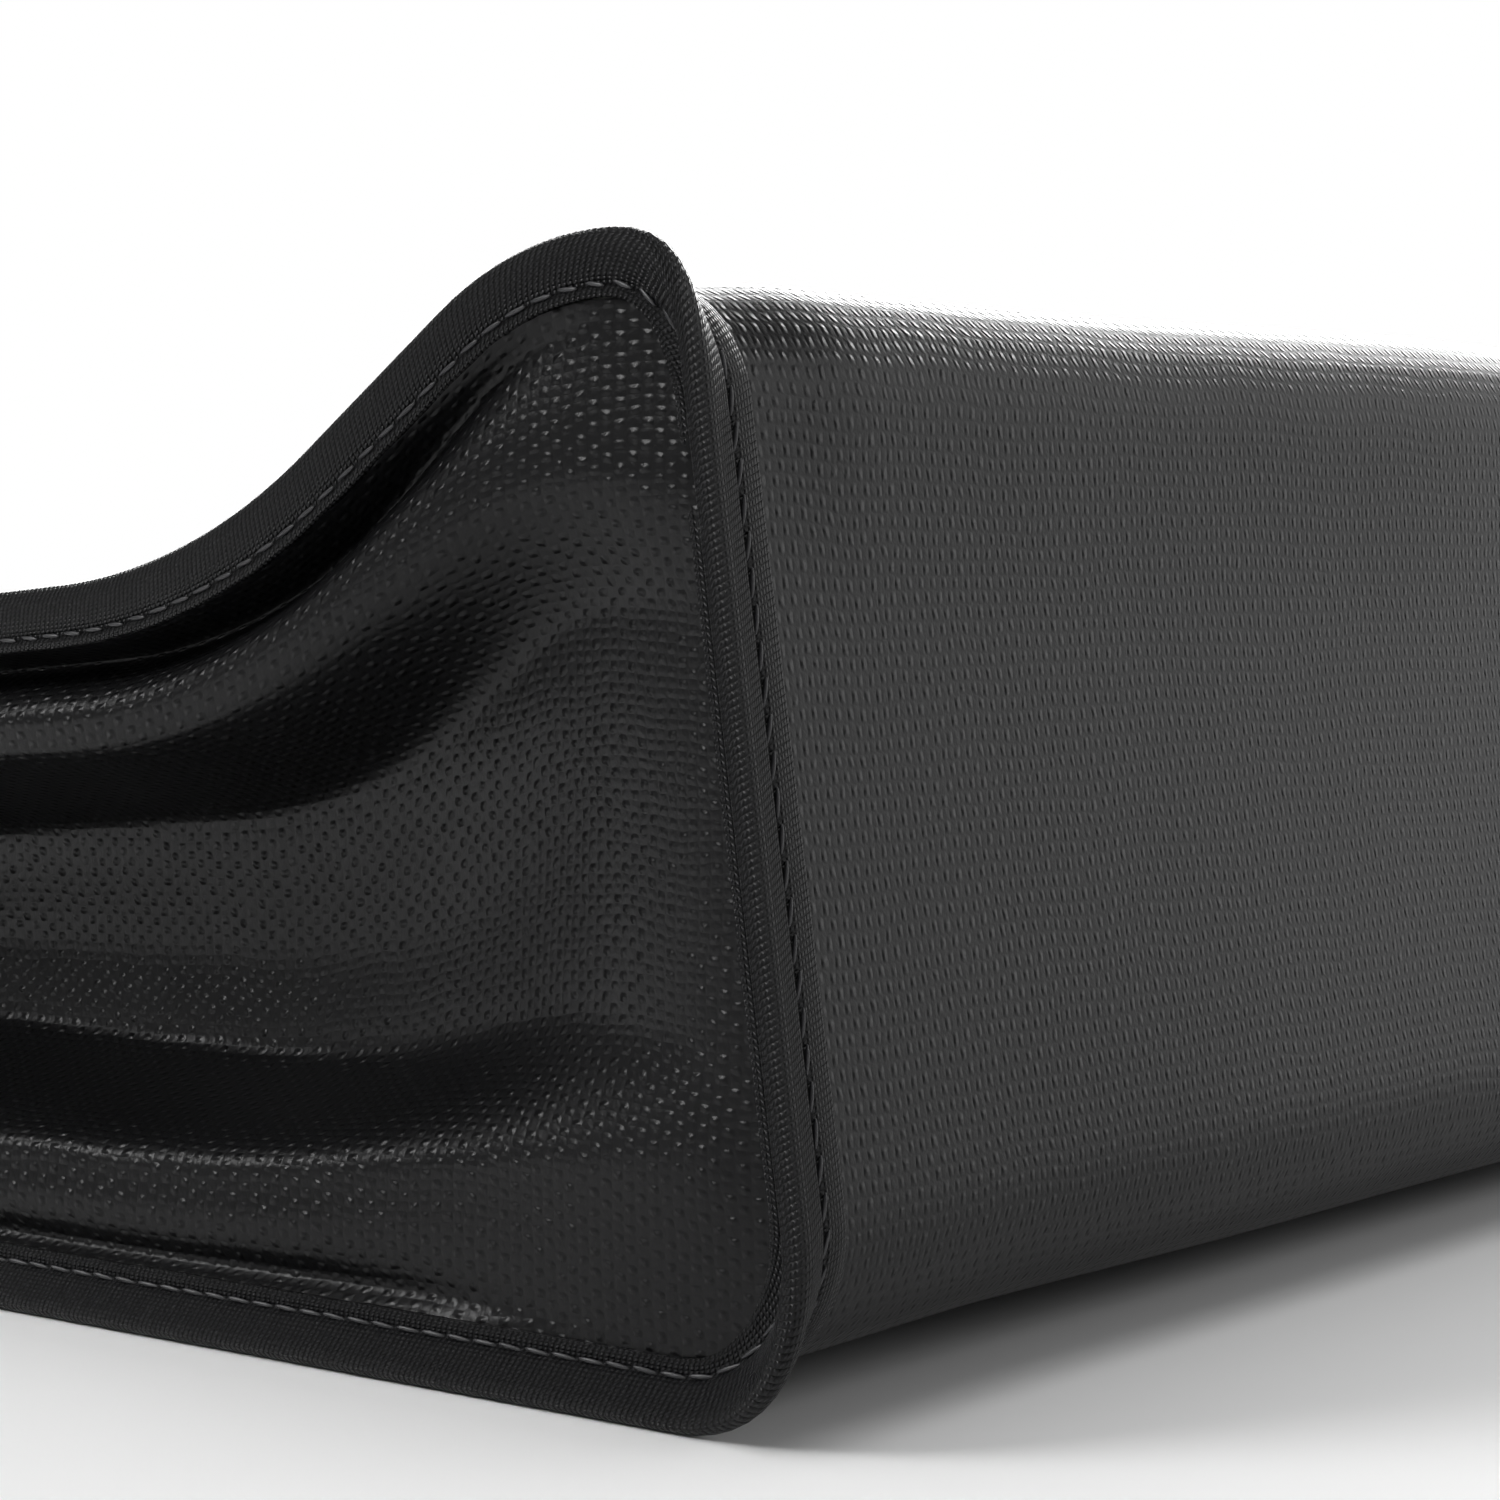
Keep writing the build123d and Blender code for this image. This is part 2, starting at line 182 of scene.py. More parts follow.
def makeCoatedCloth(spec):
    # Plain-woven glass cloth dipped in black silicone rubber: small rounded crowns under a satin skin
    material, tree = newMaterial("siliconeCoatedGlassCloth")
    uv, u, v = clothCoordinates(tree)
    drift = addNode(tree, "ShaderNodeTexNoise", {"Vector": uv, "Scale": 0.10, "Detail": 4.5, "Roughness": 0.62})
    driftU, driftV = addNode(tree, "ShaderNodeSeparateXYZ", {0: drift.outputs["Color"]}).outputs[:2]
    shiftU = addNode(tree, "ShaderNodeMath", {0: driftU, 1: spec["warpDrift"], 2: u}, operation="MULTIPLY_ADD")
    shiftV = addNode(tree, "ShaderNodeMath", {0: driftV, 1: spec["weftDrift"], 2: v}, operation="MULTIPLY_ADD")
    weave = weaveHeight(tree, shiftU, shiftV, spec["warpPitch"], spec["weftPitch"],
                        spec["lowerCrown"], spec["peak"])
    yarns = addNode(tree, "ShaderNodeTexNoise", {"Vector": uv, "Scale": 0.8, "Detail": 2.0})
    share = addNode(tree, "ShaderNodeMath", {0: yarns, 1: spec["crownSpread"], 2: spec["crownLeast"]},
                    operation="MULTIPLY_ADD")
    crowns = addNode(tree, "ShaderNodeMath", {0: weave, 1: share}, operation="MULTIPLY")
    skin = addNode(tree, "ShaderNodeTexNoise", {"Vector": uv, "Scale": 2.6, "Detail": 3.0})
    thin = addNode(tree, "ShaderNodeMath", {0: skin, 1: spec["skin"]}, operation="MULTIPLY")
    height = addNode(tree, "ShaderNodeMath", {0: crowns, 1: spec["crown"], 2: thin}, operation="MULTIPLY_ADD")
    blot = addNode(tree, "ShaderNodeTexNoise", {"Vector": uv, "Scale": 0.05, "Detail": 4.0})
    rough = addNode(tree, "ShaderNodeMath", {0: blot, 1: spec["patches"], 2: spec["roughness"]},
                    operation="MULTIPLY_ADD")
    addSurface(tree, height, blot, (colour(spec["colour"]), colour(spec["worn"])),
               {"Roughness": rough, "IOR": 1.41, "Specular IOR Level": spec["specular"]})
    return material


# hollow is the painted shade in the weave's hollows, colour the cloth's own tone at the crowns
liningCloth = {"colour": "#a9aaa6", "hollow": "#858681", "roughness": 0.75, "pitch": 0.80, "crown": 0.08}


def makeLiningCloth(spec):
    # Bare glass cloth: pale and dull, with a clear grid of yarns; the hollows between crowns are painted darker, as
    # painted shade
    material, tree = newMaterial("uncoatedGlassCloth")
    u, v = clothCoordinates(tree)[1:]
    weave = weaveHeight(tree, u, v, spec["pitch"], spec["pitch"])
    height = addNode(tree, "ShaderNodeMath", {0: weave, 1: spec["crown"]}, operation="MULTIPLY")
    # the tone follows the weave's height: painted shade in the hollows
    addSurface(tree, height, weave, (colour(spec["hollow"]), colour(spec["colour"])),
               {"Roughness": spec["roughness"]})
    return material


bindingTape = {
    # colour is the painted shade in the grooves, crown the painted highlight on the rib crowns
    "colour": "#010101",
    "crown": "#1b1b1d",
    "specular": 0.22,
    "roughness": 0.34,
    "ribPitch": 0.37,  # between the slanting ribs
    "yarnPitch": 0.26,
    "yarnDip": 0.6,  # how deep the crossing yarns cut into a rib
    "ribAngle": 68.0,  # from the tape's length
    "ribHeight": 0.20,
    "ripple": 0.12,
    "turn": 0.7,  # beside the fold, where the ribs change hand
}


def makeTape(spec):
    # Woven polyester twill tape: slanting ribs, each stepped by the yarns that cross it. The rib crowns are painted
    # lighter and the grooves darker: painted highlight and painted shade on the ribs
    material, tree = newMaterial("polyesterTwillTape")
    uv, u, v = clothCoordinates(tree)
    slant = radians(spec["ribAngle"])
    ripple = addNode(tree, "ShaderNodeTexNoise", {"Vector": uv, "Scale": 0.7, "Detail": 2.0})
    loose = addNode(tree, "ShaderNodeMath", {0: ripple, 1: spec["ripple"]}, operation="MULTIPLY")
    fromTurn = addNode(tree, "ShaderNodeMath", {0: u, 1: spec["turn"]}, operation="SUBTRACT")
    hand = addNode(tree, "ShaderNodeMath", {0: fromTurn}, operation="ABSOLUTE")
    acrossPart = addNode(tree, "ShaderNodeMath", {0: hand, 1: -cos(slant), 2: loose}, operation="MULTIPLY_ADD")
    along = addNode(tree, "ShaderNodeMath", {0: v, 1: sin(slant), 2: acrossPart}, operation="MULTIPLY_ADD")
    ribAngle = addNode(tree, "ShaderNodeMath", {0: along, 1: pi / spec["ribPitch"]}, operation="MULTIPLY")
    ribWave = addNode(tree, "ShaderNodeMath", {0: ribAngle}, operation="SINE")
    rib = addNode(tree, "ShaderNodeMath", {0: ribWave}, operation="ABSOLUTE")
    yarnAngle = addNode(tree, "ShaderNodeMath", {0: u, 1: pi / spec["yarnPitch"]}, operation="MULTIPLY")
    yarnWave = addNode(tree, "ShaderNodeMath", {0: yarnAngle}, operation="SINE")
    yarn = addNode(tree, "ShaderNodeMath", {0: yarnWave}, operation="ABSOLUTE")
    steps = addNode(tree, "ShaderNodeMath", {0: yarn, 1: spec["yarnDip"], 2: 1 - spec["yarnDip"]},
                    operation="MULTIPLY_ADD")
    relief = addNode(tree, "ShaderNodeMath", {0: rib, 1: steps}, operation="MULTIPLY")
    height = addNode(tree, "ShaderNodeMath", {0: relief, 1: spec["ribHeight"]}, operation="MULTIPLY")
    # the tone follows the ribs' relief: painted highlight on the crowns, painted shade in the grooves
    addSurface(tree, height, relief, (colour(spec["colour"]), colour(spec["crown"])),
               {"Roughness": spec["roughness"], "Specular IOR Level": spec["specular"]})
    return material


webbing = {
    # colour is the painted shade in the weave's hollows, crown the painted highlight on the yarn crowns
    "colour": "#101011",
    "crown": "#222223",
    "roughness": 0.58,
    "ribPitch": 1.1,
    "yarnPitch": 0.7,
    "ribWidth": 3.0,  # from one turn of the herringbone to the next
    "slant": 0.8,
    "ribHeight": 0.16,
}


def makeWebbing(spec):
    # Woven polyester webbing: a herringbone of short slanting yarns, their crowns painted lighter than the hollows:
    # painted highlight and painted shade
    material, tree = newMaterial("polyesterWebbing")
    u, v = clothCoordinates(tree)[1:]
    zigzag = addNode(tree, "ShaderNodeMath", {0: u, 1: spec["ribWidth"]}, operation="PINGPONG")
    along = addNode(tree, "ShaderNodeMath", {0: zigzag, 1: spec["slant"], 2: v}, operation="MULTIPLY_ADD")
    weave = weaveHeight(tree, u, along, spec["yarnPitch"], spec["ribPitch"])
    height = addNode(tree, "ShaderNodeMath", {0: weave, 1: spec["ribHeight"]}, operation="MULTIPLY")
    # the tone follows the weave's height: painted highlight on the crowns, painted shade in the hollows
    addSurface(tree, height, weave, (colour(spec["colour"]), colour(spec["crown"])),
               {"Roughness": spec["roughness"]})
    return material


def makeFibre(name, hexValue, roughness, grain, sheen=0.0):
    # Spun or moulded fibre: a fine grain of light and dark, as deep as a fifth of its size
    material, tree = newMaterial(name)
    coords = addNode(tree, "ShaderNodeTexCoord")
    fuzz = addNode(tree, "ShaderNodeTexNoise",
                   {"Vector": coords.outputs["Object"], "Scale": 1 / (grain * mm), "Detail": 2.0})
    dark = colour(hexValue)
    light = [min(1.0, 1.9 * channel) for channel in dark]
    addSurface(tree, fuzz, fuzz, (dark, light), {"Roughness": roughness, "Sheen Weight": sheen},
               relief=0.2 * grain * mm, strength=0.5)
    return material


clothMaterial = makeCoatedCloth(coatedCloth)
liningMaterial = makeLiningCloth(liningCloth)
tapeMaterial = makeTape(bindingTape)
webbingMaterial = makeWebbing(webbing)
# Bonded polyester thread: a tight twist with a slight shine; its colour is painted lighter than the dark thread, a
# painted highlight for the stitches' glints
threadMaterial = makeFibre("bondedPolyesterThread", "#1e1e20", 0.42, 0.17)
# Brushed nylon loops: a dull, soft pile that catches light at its edges
loopMaterial = makeFibre("brushedNylonLoops", "#0b0b0c", 0.8, 0.4, sheen=0.12)
# Moulded nylon hooks: stiff and a little shiny
hookMaterial = makeFibre("mouldedNylonHooks", "#131314", 0.42, 0.5)
print("materials made")


def turned(angle):
    return Vector((cos(radians(angle)), sin(radians(angle))))


def smooth(value):
    value = min(1.0, max(0.0, value))
    return value * value * (3 - 2 * value)


def profileCorners():
    # Arcs of the back, base and front strip: centre, radius (negative where hollow), first and last outward angle
    baseNormal = turned(180 - bag["baseLean"])
    baseUp = turned(90 - bag["baseLean"])
    hillNormal = turned(90 - bag["hillAngle"])
    hillDown = turned(-bag["hillAngle"])
    backCorner = Vector((baseY, backZ)) + Vector((1, 1)) * bag["backCornerRadius"]
    sideStep = backCorner + baseNormal * (bag["backCornerRadius"] - bag["frontCornerRadius"])
    rise = (frontZ - bag["frontCornerRadius"] - sideStep.y) / baseUp.y
    frontCorner = sideStep + baseUp * rise
    shoulder = Vector((frontCorner.x, frontZ - bag["shoulderRadius"]))
    hillFoot = shoulder + hillNormal * bag["shoulderRadius"] + hillDown * bag["hillLength"]
    valley = hillFoot + hillNormal * bag["valleyRadius"]
    return [
        (backCorner, bag["backCornerRadius"], 270, 180 - bag["baseLean"]),
        (frontCorner, bag["frontCornerRadius"], 180 - bag["baseLean"], 90),
        (shoulder, bag["shoulderRadius"], 90, 90 - bag["hillAngle"]),
        (valley, -bag["valleyRadius"], 90 - bag["hillAngle"], 90 - bag["frontSlope"]),
    ]


corners = profileCorners()
valleyEnd = corners[3][0] - turned(90 - bag["frontSlope"]) * bag["valleyRadius"]


def frontHeight(y):
    return valleyEnd.y - (y - valleyEnd.x) * tan(radians(bag["frontSlope"]))


def makePath(start, arcs, end):
    # Straight runs joined by arcs: each piece is (first length, last length, start, end, arc or None)
    pieces = []
    here, length = start, 0.0
    for arc in [*arcs, None]:
        there = end if arc is None else arc[0] + turned(arc[2]) * arc[1]
        run = (there - here).length
        pieces.append((length, length + run, here, there, None))
        length += run
        if arc is not None:
            span = abs(radians(arc[3] - arc[2]) * arc[1])
            pieces.append((length, length + span, None, None, arc))
            length += span
            here = arc[0] + turned(arc[3]) * arc[1]
    return pieces


def pathAt(pieces, length):
    # Place, outward angle and how many arcs lie behind, with the share of the one it is on
    passed, angle = 0, next(piece[4] for piece in pieces if piece[4])[2]
    for first, last, start, end, arc in pieces:
        inside = length < last
        if arc is None:
            if inside or first >= pieces[-1][0]:
                return start.lerp(end, (length - first) / max(last - first, 1e-6)), angle, passed
        elif inside:
            share = (length - first) / (last - first)
            angle = arc[2] + (arc[3] - arc[2]) * share
            return arc[0] + turned(angle) * arc[1], angle, passed + share
        else:
            passed, angle = passed + 1, arc[3]
    return end, angle, passed


def evenSteps(low, high, step):
    count = max(1, round((high - low) / step))
    return [low + (high - low) * i / count for i in range(count + 1)]


def stationsOf(pieces, step, low=0.0, high=None):
    # Lengths spaced evenly within each run or arc, so that its ends are kept
    high = pieces[-1][1] if high is None else high
    lengths = []
    for first, last, *_ in pieces:
        first, last = max(first, low), min(last, high)
        if last - first > 0.01:
            lengths += evenSteps(first, last, step)[:-1]
    return lengths + [high]


bagPath = makePath(Vector((mouthY, backZ)), corners, Vector((mouthY, frontHeight(mouthY))))
bagLength = bagPath[-1][1]


def makeObject(name, points, faces, uvs, material):
    mesh = bpy.data.meshes.new(name)
    mesh.from_pydata([Vector(p) * mm for p in points], [], faces)
    layer = mesh.uv_layers.new(name="cloth")
    for polygon in mesh.polygons:
        polygon.use_smooth = True
        for k, loop in enumerate(polygon.loop_indices):
            layer.data[loop].uv = uvs[polygon.index][k]
    mesh.materials.append(material)
    item = bpy.data.objects.new(name, mesh)
    bpy.context.scene.collection.objects.link(item)
    return item


def makeGrid(name, rows, uvRows, material, tube=False, flip=False):
    # A sheet, or a tube with both ends shut, from rows of points; a tube's row has one more uv than it has points
    width = len(rows[0])
    points = [p for row in rows for p in row]
    faces, uvs = [], []
    for i in range(len(rows) - 1):
        for j in range(width if tube else width - 1):
            k = (j + 1) % width
            faces.append((i * width + j, i * width + k, (i + 1) * width + k, (i + 1) * width + j))
            uvs.append((uvRows[i][j], uvRows[i][j + 1], uvRows[i + 1][j + 1], uvRows[i + 1][j]))
    if tube:
        last = (len(rows) - 1) * width
        faces += [tuple(range(width - 1, -1, -1)), tuple(range(last, last + width))]
        uvs += [uvRows[0][width - 1::-1], uvRows[-1][:width]]
    item = makeObject(name, points, faces, uvs, material)
    if tube:
        shape = bmesh.new()
        shape.from_mesh(item.data)
        bmesh.ops.recalc_face_normals(shape, faces=shape.faces)
        shape.to_mesh(item.data)
        shape.free()
    elif flip:
        item.data.flip_normals()
    return item


def thicken(item, thickness):
    # The cut edges are sharp, so that they don't shade the cloth beside them
    shape = bmesh.new()
    shape.from_mesh(item.data)
    for edge in shape.edges:
        edge.smooth = not edge.is_boundary
    shape.to_mesh(item.data)
    shape.free()
    modifier = item.modifiers.new("thickness", "SOLIDIFY")
    modifier.thickness = thickness * mm
    modifier.offset = -1.0


def dress(item, bodies, slot, *nodes, blend=None):
    # A finished piece rides on its first body; given a blend, it only has its transform baked in and rides on none.
    # Either way it stands in for the named nodes
    if blend:
        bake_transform(item)
    else:
        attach(item, bodies[0])
    if nodes:
        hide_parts(*nodes)


def wander(a, b, scale, size, seed):
    # A slow wave over two lengths, the same on every run
    return size * noise.noise(Vector((a / scale + seed, b / scale - seed, seed * 1.7)))


# Back, base and front: one strip that sags between its seams
strip = {
    "underTape": 0.6,  # the cloth's edge reaches this far under the tape
    "rootLength": 4.0,  # the flap's own piece starts this far from the mouth
    "backSag": 1.5,
    "frontSag": 1.6,
    "baseHollow": 0.9,
    "hollowFrom": 8.0,  # past the back corner
    "hollowTo": 4.0,  # before the front panel
    "ridgeRise": 0.6,  # the top turn puffs up between the seams
    "ridgeEdge": 12.0,  # from the seam to the puff's full height
    "ridgeFrom": 45.0,  # past the back corner
    "ridgeTo": 105.0,
    "rippleSize": 0.55,
    "rippleScale": 46.0,
    "rippleEnd": 20.0,  # the ripples die away towards both ends
}
backEnd = bagPath[0][1]  # where the back panel meets its corner
frontStart = bagPath[4][0]  # past the front corner


def stripLift(x, length):
    # How far the slack cloth lies off the tight profile
    across = max(0.0, 1 - (x / panelHalf) ** 2)
    fromRoot = max(0.0, length - strip["rootLength"])
    if length < backEnd:
        lift = strip["backSag"] * across * sin(pi * fromRoot / (backEnd - strip["rootLength"]))
    elif length < frontStart:
        hollow = frontStart - backEnd - strip["hollowFrom"] - strip["hollowTo"]
        share = min(1, max(0, (length - backEnd - strip["hollowFrom"]) / hollow))
        lift = -strip["baseHollow"] * across * sin(pi * share) ** 2
    else:
        share = (length - frontStart) / (bagLength - frontStart)
        lift = -strip["frontSag"] * across * sin(pi * min(1, share * 1.05)) ** 2
    puff = strip["ridgeRise"] * smooth((panelHalf + 0.5 - abs(x)) / strip["ridgeEdge"])
    past = length - backEnd
    lift += puff * smooth((past - strip["ridgeFrom"]) / 15) * smooth((strip["ridgeTo"] - past) / 30)
    ripple = wander(x, length, strip["rippleScale"], strip["rippleSize"], 3.1) * min(1, across * 3)
    return lift + ripple * min(1, fromRoot / strip["rippleEnd"], (bagLength - length) / strip["rippleEnd"])


def stripPoint(x, length, height=0.0):
    place, angle = pathAt(bagPath, length)[:2]
    at = place + turned(angle) * (height + stripLift(x, length))
    return Vector((x, at.x, at.y))


clothHalf = panelHalf + strip["underTape"]


def makeStrip(name, depth, thickness, step, material):
    xs = evenSteps(-clothHalf, clothHalf, step)
    lengths = stationsOf(bagPath, step, strip["rootLength"])
    rows = [[stripPoint(x, length, -depth) for x in xs] for length in lengths]
    item = makeGrid(name, rows, [[(x, length) for x in xs] for length in lengths], material)
    thicken(item, thickness)
    return item


wrapCloth = makeStrip("wrapCloth", 0, bag["shell"], bag["sheetStep"], clothMaterial)
wrapLining = makeStrip("wrapLining", bag["shell"], bag["lining"], bag["liningStep"], liningMaterial)
dress(wrapCloth, ["bag"], "coated_cloth", "wrap_shell")
dress(wrapLining, ["bag"], "liner_cloth", "wrap_liner")
print("strip made")

# Gussets: flat against the base seam, folded in towards the mouth
gusset = {
    "outset": 1.5,  # the cloth meets the middle of the bound seam
    "edgeInset": 0.9,
    # The fold from the front's seam down to the back's: share of the half height, share of the depth
    "folds": [(1.0, 0), (0.77, 0), (0.69, 0.02), (0.40, 0.93), (-0.05, 1), (-0.36, 0.95), (-0.66, 0.08), (-1.0, 0)],
    "narrows": 0.45,  # how much narrower the fold's bottom gets towards the mouth
    "narrowFrom": 40.0,
    "narrowOver": 110.0,
    "ridge": 0.77,  # share of the half height where the soft ridge starts to fall to the dip
    "dipAt": 0.955,  # the cloth dips sharply beside both seams
    "dips": (5.0, 1.8),  # at the front's seam and at the back's
    "dipFrom": 12.0,
    "dipOver": 28.0,
    "bulge": 0.9,
    "ripple": 0.5,
    "rippleScale": 26.0,
    "rows": 110,
    "firstStep": 0.25,  # the places lie closer together at the base
    "placeStep": 1.6,
    "curvePoints": 160,
}
gussetBottom = backZ + gusset["edgeInset"]
gussetCut = frontZ - backZ - 2 * gusset["edgeInset"]
frontCornerY = corners[1][0].x


def profileSpan(y):
    # Lowest and highest point of the profile over a place along the bag
    inset = gusset["edgeInset"]
    back, top, shoulder, valley = [corner[0] for corner in corners]
    backRadius, topRadius = bag["backCornerRadius"] - inset, bag["frontCornerRadius"] - inset
    shoulderRadius, valleyRadius = bag["shoulderRadius"], bag["valleyRadius"]
    low = backZ + inset
    if y < back.x:
        low = back.y - sqrt(backRadius ** 2 - min(backRadius, back.x - y) ** 2)
    baseNormal, hillNormal = turned(180 - bag["baseLean"]), turned(90 - bag["hillAngle"])
    hillStart = shoulder + hillNormal * shoulderRadius
    hillEnd = valley - hillNormal * valleyRadius
    if y < (top + baseNormal * topRadius).x:
        baseStart = back + baseNormal * backRadius
        high = baseStart.y + (y - baseStart.x) / tan(radians(bag["baseLean"]))
    elif y < top.x:
        high = top.y + sqrt(max(0, topRadius ** 2 - (top.x - y) ** 2))
    elif y < hillStart.x:
        high = shoulder.y + sqrt(shoulderRadius ** 2 - (y - shoulder.x) ** 2) - inset
    elif y < hillEnd.x:
        high = hillStart.y - (y - hillStart.x) * tan(radians(bag["hillAngle"])) - inset
    elif y < valleyEnd.x:
        high = valley.y - sqrt(valleyRadius ** 2 - (y - valley.x) ** 2) - inset
    else:
        high = frontHeight(y) - inset
    return low, max(high, low + 0.02)


def halfHeight(y):
    return (profileSpan(max(y, frontCornerY))[1] - gussetBottom) / 2


def gussetCurve(y):
    # The fold's cross-section at one place along the bag, from bottom to top: (inward, z)
    t = y - baseY
    half = halfHeight(y)
    spare = sum(max(0.0, gussetCut / 2 - halfHeight(y + k)) for k in (-8, -4, 0, 4, 8)) / 5
    spare += 0.15 * smooth(t / 14)
    narrow = 1 - gusset["narrows"] * smooth((t - gusset["narrowFrom"]) / gusset["narrowOver"])
    (flankTop, _), (flankEnd, _) = gusset["folds"][2:4]
    flank = (flankTop - flankEnd * narrow) * half
    deep = sqrt((flank + spare) ** 2 - flank ** 2)  # what the bag loses in height goes into the fold's flanks
    slack = smooth((t - gusset["dipFrom"]) / gusset["dipOver"])
    entry = 2.2 - 1.2 * smooth((t - 18) / 24)
    knots = [(q * narrow if abs(q) < 0.5 else q, depth * deep) for q, depth in reversed(gusset["folds"])]
    curve, k = [], 0
    for i in range(gusset["curvePoints"] + 1):
        q = -1 + 2 * i / gusset["curvePoints"]
        a = abs(q)
        while k < len(knots) - 2 and q > knots[k + 1][0]:
            k += 1
        (low, lowDepth), (high, highDepth) = knots[k], knots[k + 1]
        inward = lowDepth + (highDepth - lowDepth) * smooth((q - low) / (high - low))
        if a > gusset["dipAt"]:
            inward += gusset["dips"][q < 0] * slack * min(1, (1 - a) / (1 - gusset["dipAt"])) ** entry
        elif a > gusset["ridge"]:
            rise = (a - gusset["ridge"]) / (gusset["dipAt"] - gusset["ridge"])
            inward += gusset["dips"][q < 0] * slack * rise ** 2
        swell = gusset["bulge"] * smooth(t / 7) * (1 - smooth((t - 7) / 20)) * smooth((1 - a) / 0.5)
        curve.append((inward - swell, gussetBottom + half * (1 + q)))
    return curve


def runningLengths(line):
    lengths = [0.0]
    for a, b in zip(line, line[1:]):
        lengths.append(lengths[-1] + hypot(b[0] - a[0], b[1] - a[1]))
    return lengths


def gussetRow(side, y, shares, depth):
    # Points at even shares of the cross-section's length, so that the weave lies evenly along the fold
    curve = gussetCurve(y)
    lengths = runningLengths(curve)
    row, k = [], 0
    for share in shares:
        target = share * lengths[-1]
        while k < len(curve) - 2 and lengths[k + 1] < target:
            k += 1
        f = (target - lengths[k]) / (lengths[k + 1] - lengths[k])
        inward, z = Vector(curve[k]).lerp(Vector(curve[k + 1]), f)
        loose = wander(y, z, gusset["rippleScale"], gusset["ripple"], 7.7) * smooth((y - baseY) / 12)
        row.append(Vector((side * (panelHalf + gusset["outset"] - inward - depth - loose), y, z)))
    return row


def gussetPlaces():
    places, y, step = [], baseY + gusset["edgeInset"] + 0.02, gusset["firstStep"]
    while y < mouthY - 0.5:
        places.append(y)
        step = min(gusset["placeStep"], step * 1.35)
        y += step
    return places + [mouthY]


def makeGusset(name, side, depth, thickness, material):
    rows, uvRows = [], []
    for y in gussetPlaces():
        low, high = 0.0, 1.0
        if y < frontCornerY:
            low, high = [(z - gussetBottom) / gussetCut for z in profileSpan(y)]
        shares = [low + (high - low) * j / gusset["rows"] for j in range(gusset["rows"] + 1)]
        rows.append(gussetRow(side, y, shares, depth))
        uvRows.append([(share * gussetCut, y) for share in shares])
    item = makeGrid(name, rows, uvRows, material, flip=side > 0)
    thicken(item, thickness)
    return item


for side, word in ((-1, "left"), (1, "right")):
    shell = makeGusset(word + "GussetCloth", side, 0, bag["shell"], clothMaterial)
    lining = makeGusset(word + "GussetLining", side, bag["shell"], bag["lining"], liningMaterial)
    dress(shell, ["bag"], "coated_cloth", word + "_gusset_shell")
    dress(lining, ["bag"], "liner_cloth", word + "_gusset_liner")
print("gussets made")

# The flap: on from the back panel, up across the mouth and down over the front
flap = {
    "creaseRadius": 2.0,  # at the back edge of the mouth
    "foldRadius": 2.4,  # over the front edge
    "cornerRadius": 18.0,
    "rootNarrows": 3.0,
    "tapeStart": 0.8,  # past the mouth
    "step": 2.0,
    "bendStep": 0.8,
    "liningInset": 0.02,
    "crown": 0.9,  # the lip bows up between the fold and the hook strip
    "crownLength": 34.0,
    "curls": (0.63, 0.91),  # its free corners lift, the right one more
    "curlReach": 32.0,  # in from the side edge
    "curlFrom": 38.0,  # down from the fold
    "ripple": 0.35,
    "rippleScale": 30.0,
    "spineBow": 0.5,
    "spineRipple": 0.6,
    "spineRippleScale": 50.0,
}
flapHalf = spineHigh.x
spineY = spineHigh.y
lipTilt = bag["frontSlope"]
lipDown = turned(180 - lipTilt)
lipNormal = turned(90 - lipTilt)
lipEnd = Vector((lipLow.y, lipHigh.z))
creaseCentre = Vector((spineY - flap["creaseRadius"], backZ + flap["creaseRadius"]))
foldX = spineY - flap["foldRadius"]
foldZ = lipEnd.y - (foldX - lipEnd.x) * tan(radians(lipTilt)) - flap["foldRadius"] / cos(radians(lipTilt))
flapPath = makePath(Vector((mouthY - strip["rootLength"], backZ)), [
    (creaseCentre, flap["creaseRadius"], 270, 360),
    (Vector((foldX, foldZ)), flap["foldRadius"], 360, 450 - lipTilt),
], lipEnd)
flapLength = flapPath[-1][1]
foldEnd = flapPath[4][0]
spineStart, spineEnd = flapPath[2][:2]
spineMiddle = (spineStart + spineEnd) / 2


def flapEdge(v):
    # Half the flap's width at a length from its root
    half = clothHalf - (clothHalf - flapHalf) * smooth((v - 1.5) / flap["rootNarrows"])
    left = flapLength - v
    if left < flap["cornerRadius"]:
        half -= flap["cornerRadius"] - sqrt(max(0, flap["cornerRadius"] ** 2 - (flap["cornerRadius"] - left) ** 2))
    return half


def flapPoint(u, v, height=0.0):
    place, angle, passed = pathAt(flapPath, v)
    lift = height
    if v > foldEnd:
        down = v - foldEnd
        lift += flap["crown"] * sin(pi * min(1, down / flap["crownLength"])) ** 2 * (0.7 + 0.3 * cos(u / 31))
        corner = smooth((abs(u) - flapHalf + flap["curlReach"]) / 30) * smooth((down - flap["curlFrom"]) / 20)
        lift += flap["curls"][u > 0] * corner
        lift += wander(u, v, flap["rippleScale"], flap["ripple"], 5.3) * smooth(down / 15)
    elif passed == 1:
        slack = flap["spineBow"] * cos(pi * u / flapHalf)
        slack += wander(u, v, flap["spineRippleScale"], flap["spineRipple"], 9.1)
        lift += slack * sin(pi * (v - spineStart) / (spineEnd - spineStart))
    at = place + turned(angle) * lift
    return Vector((u, at.x, at.y))


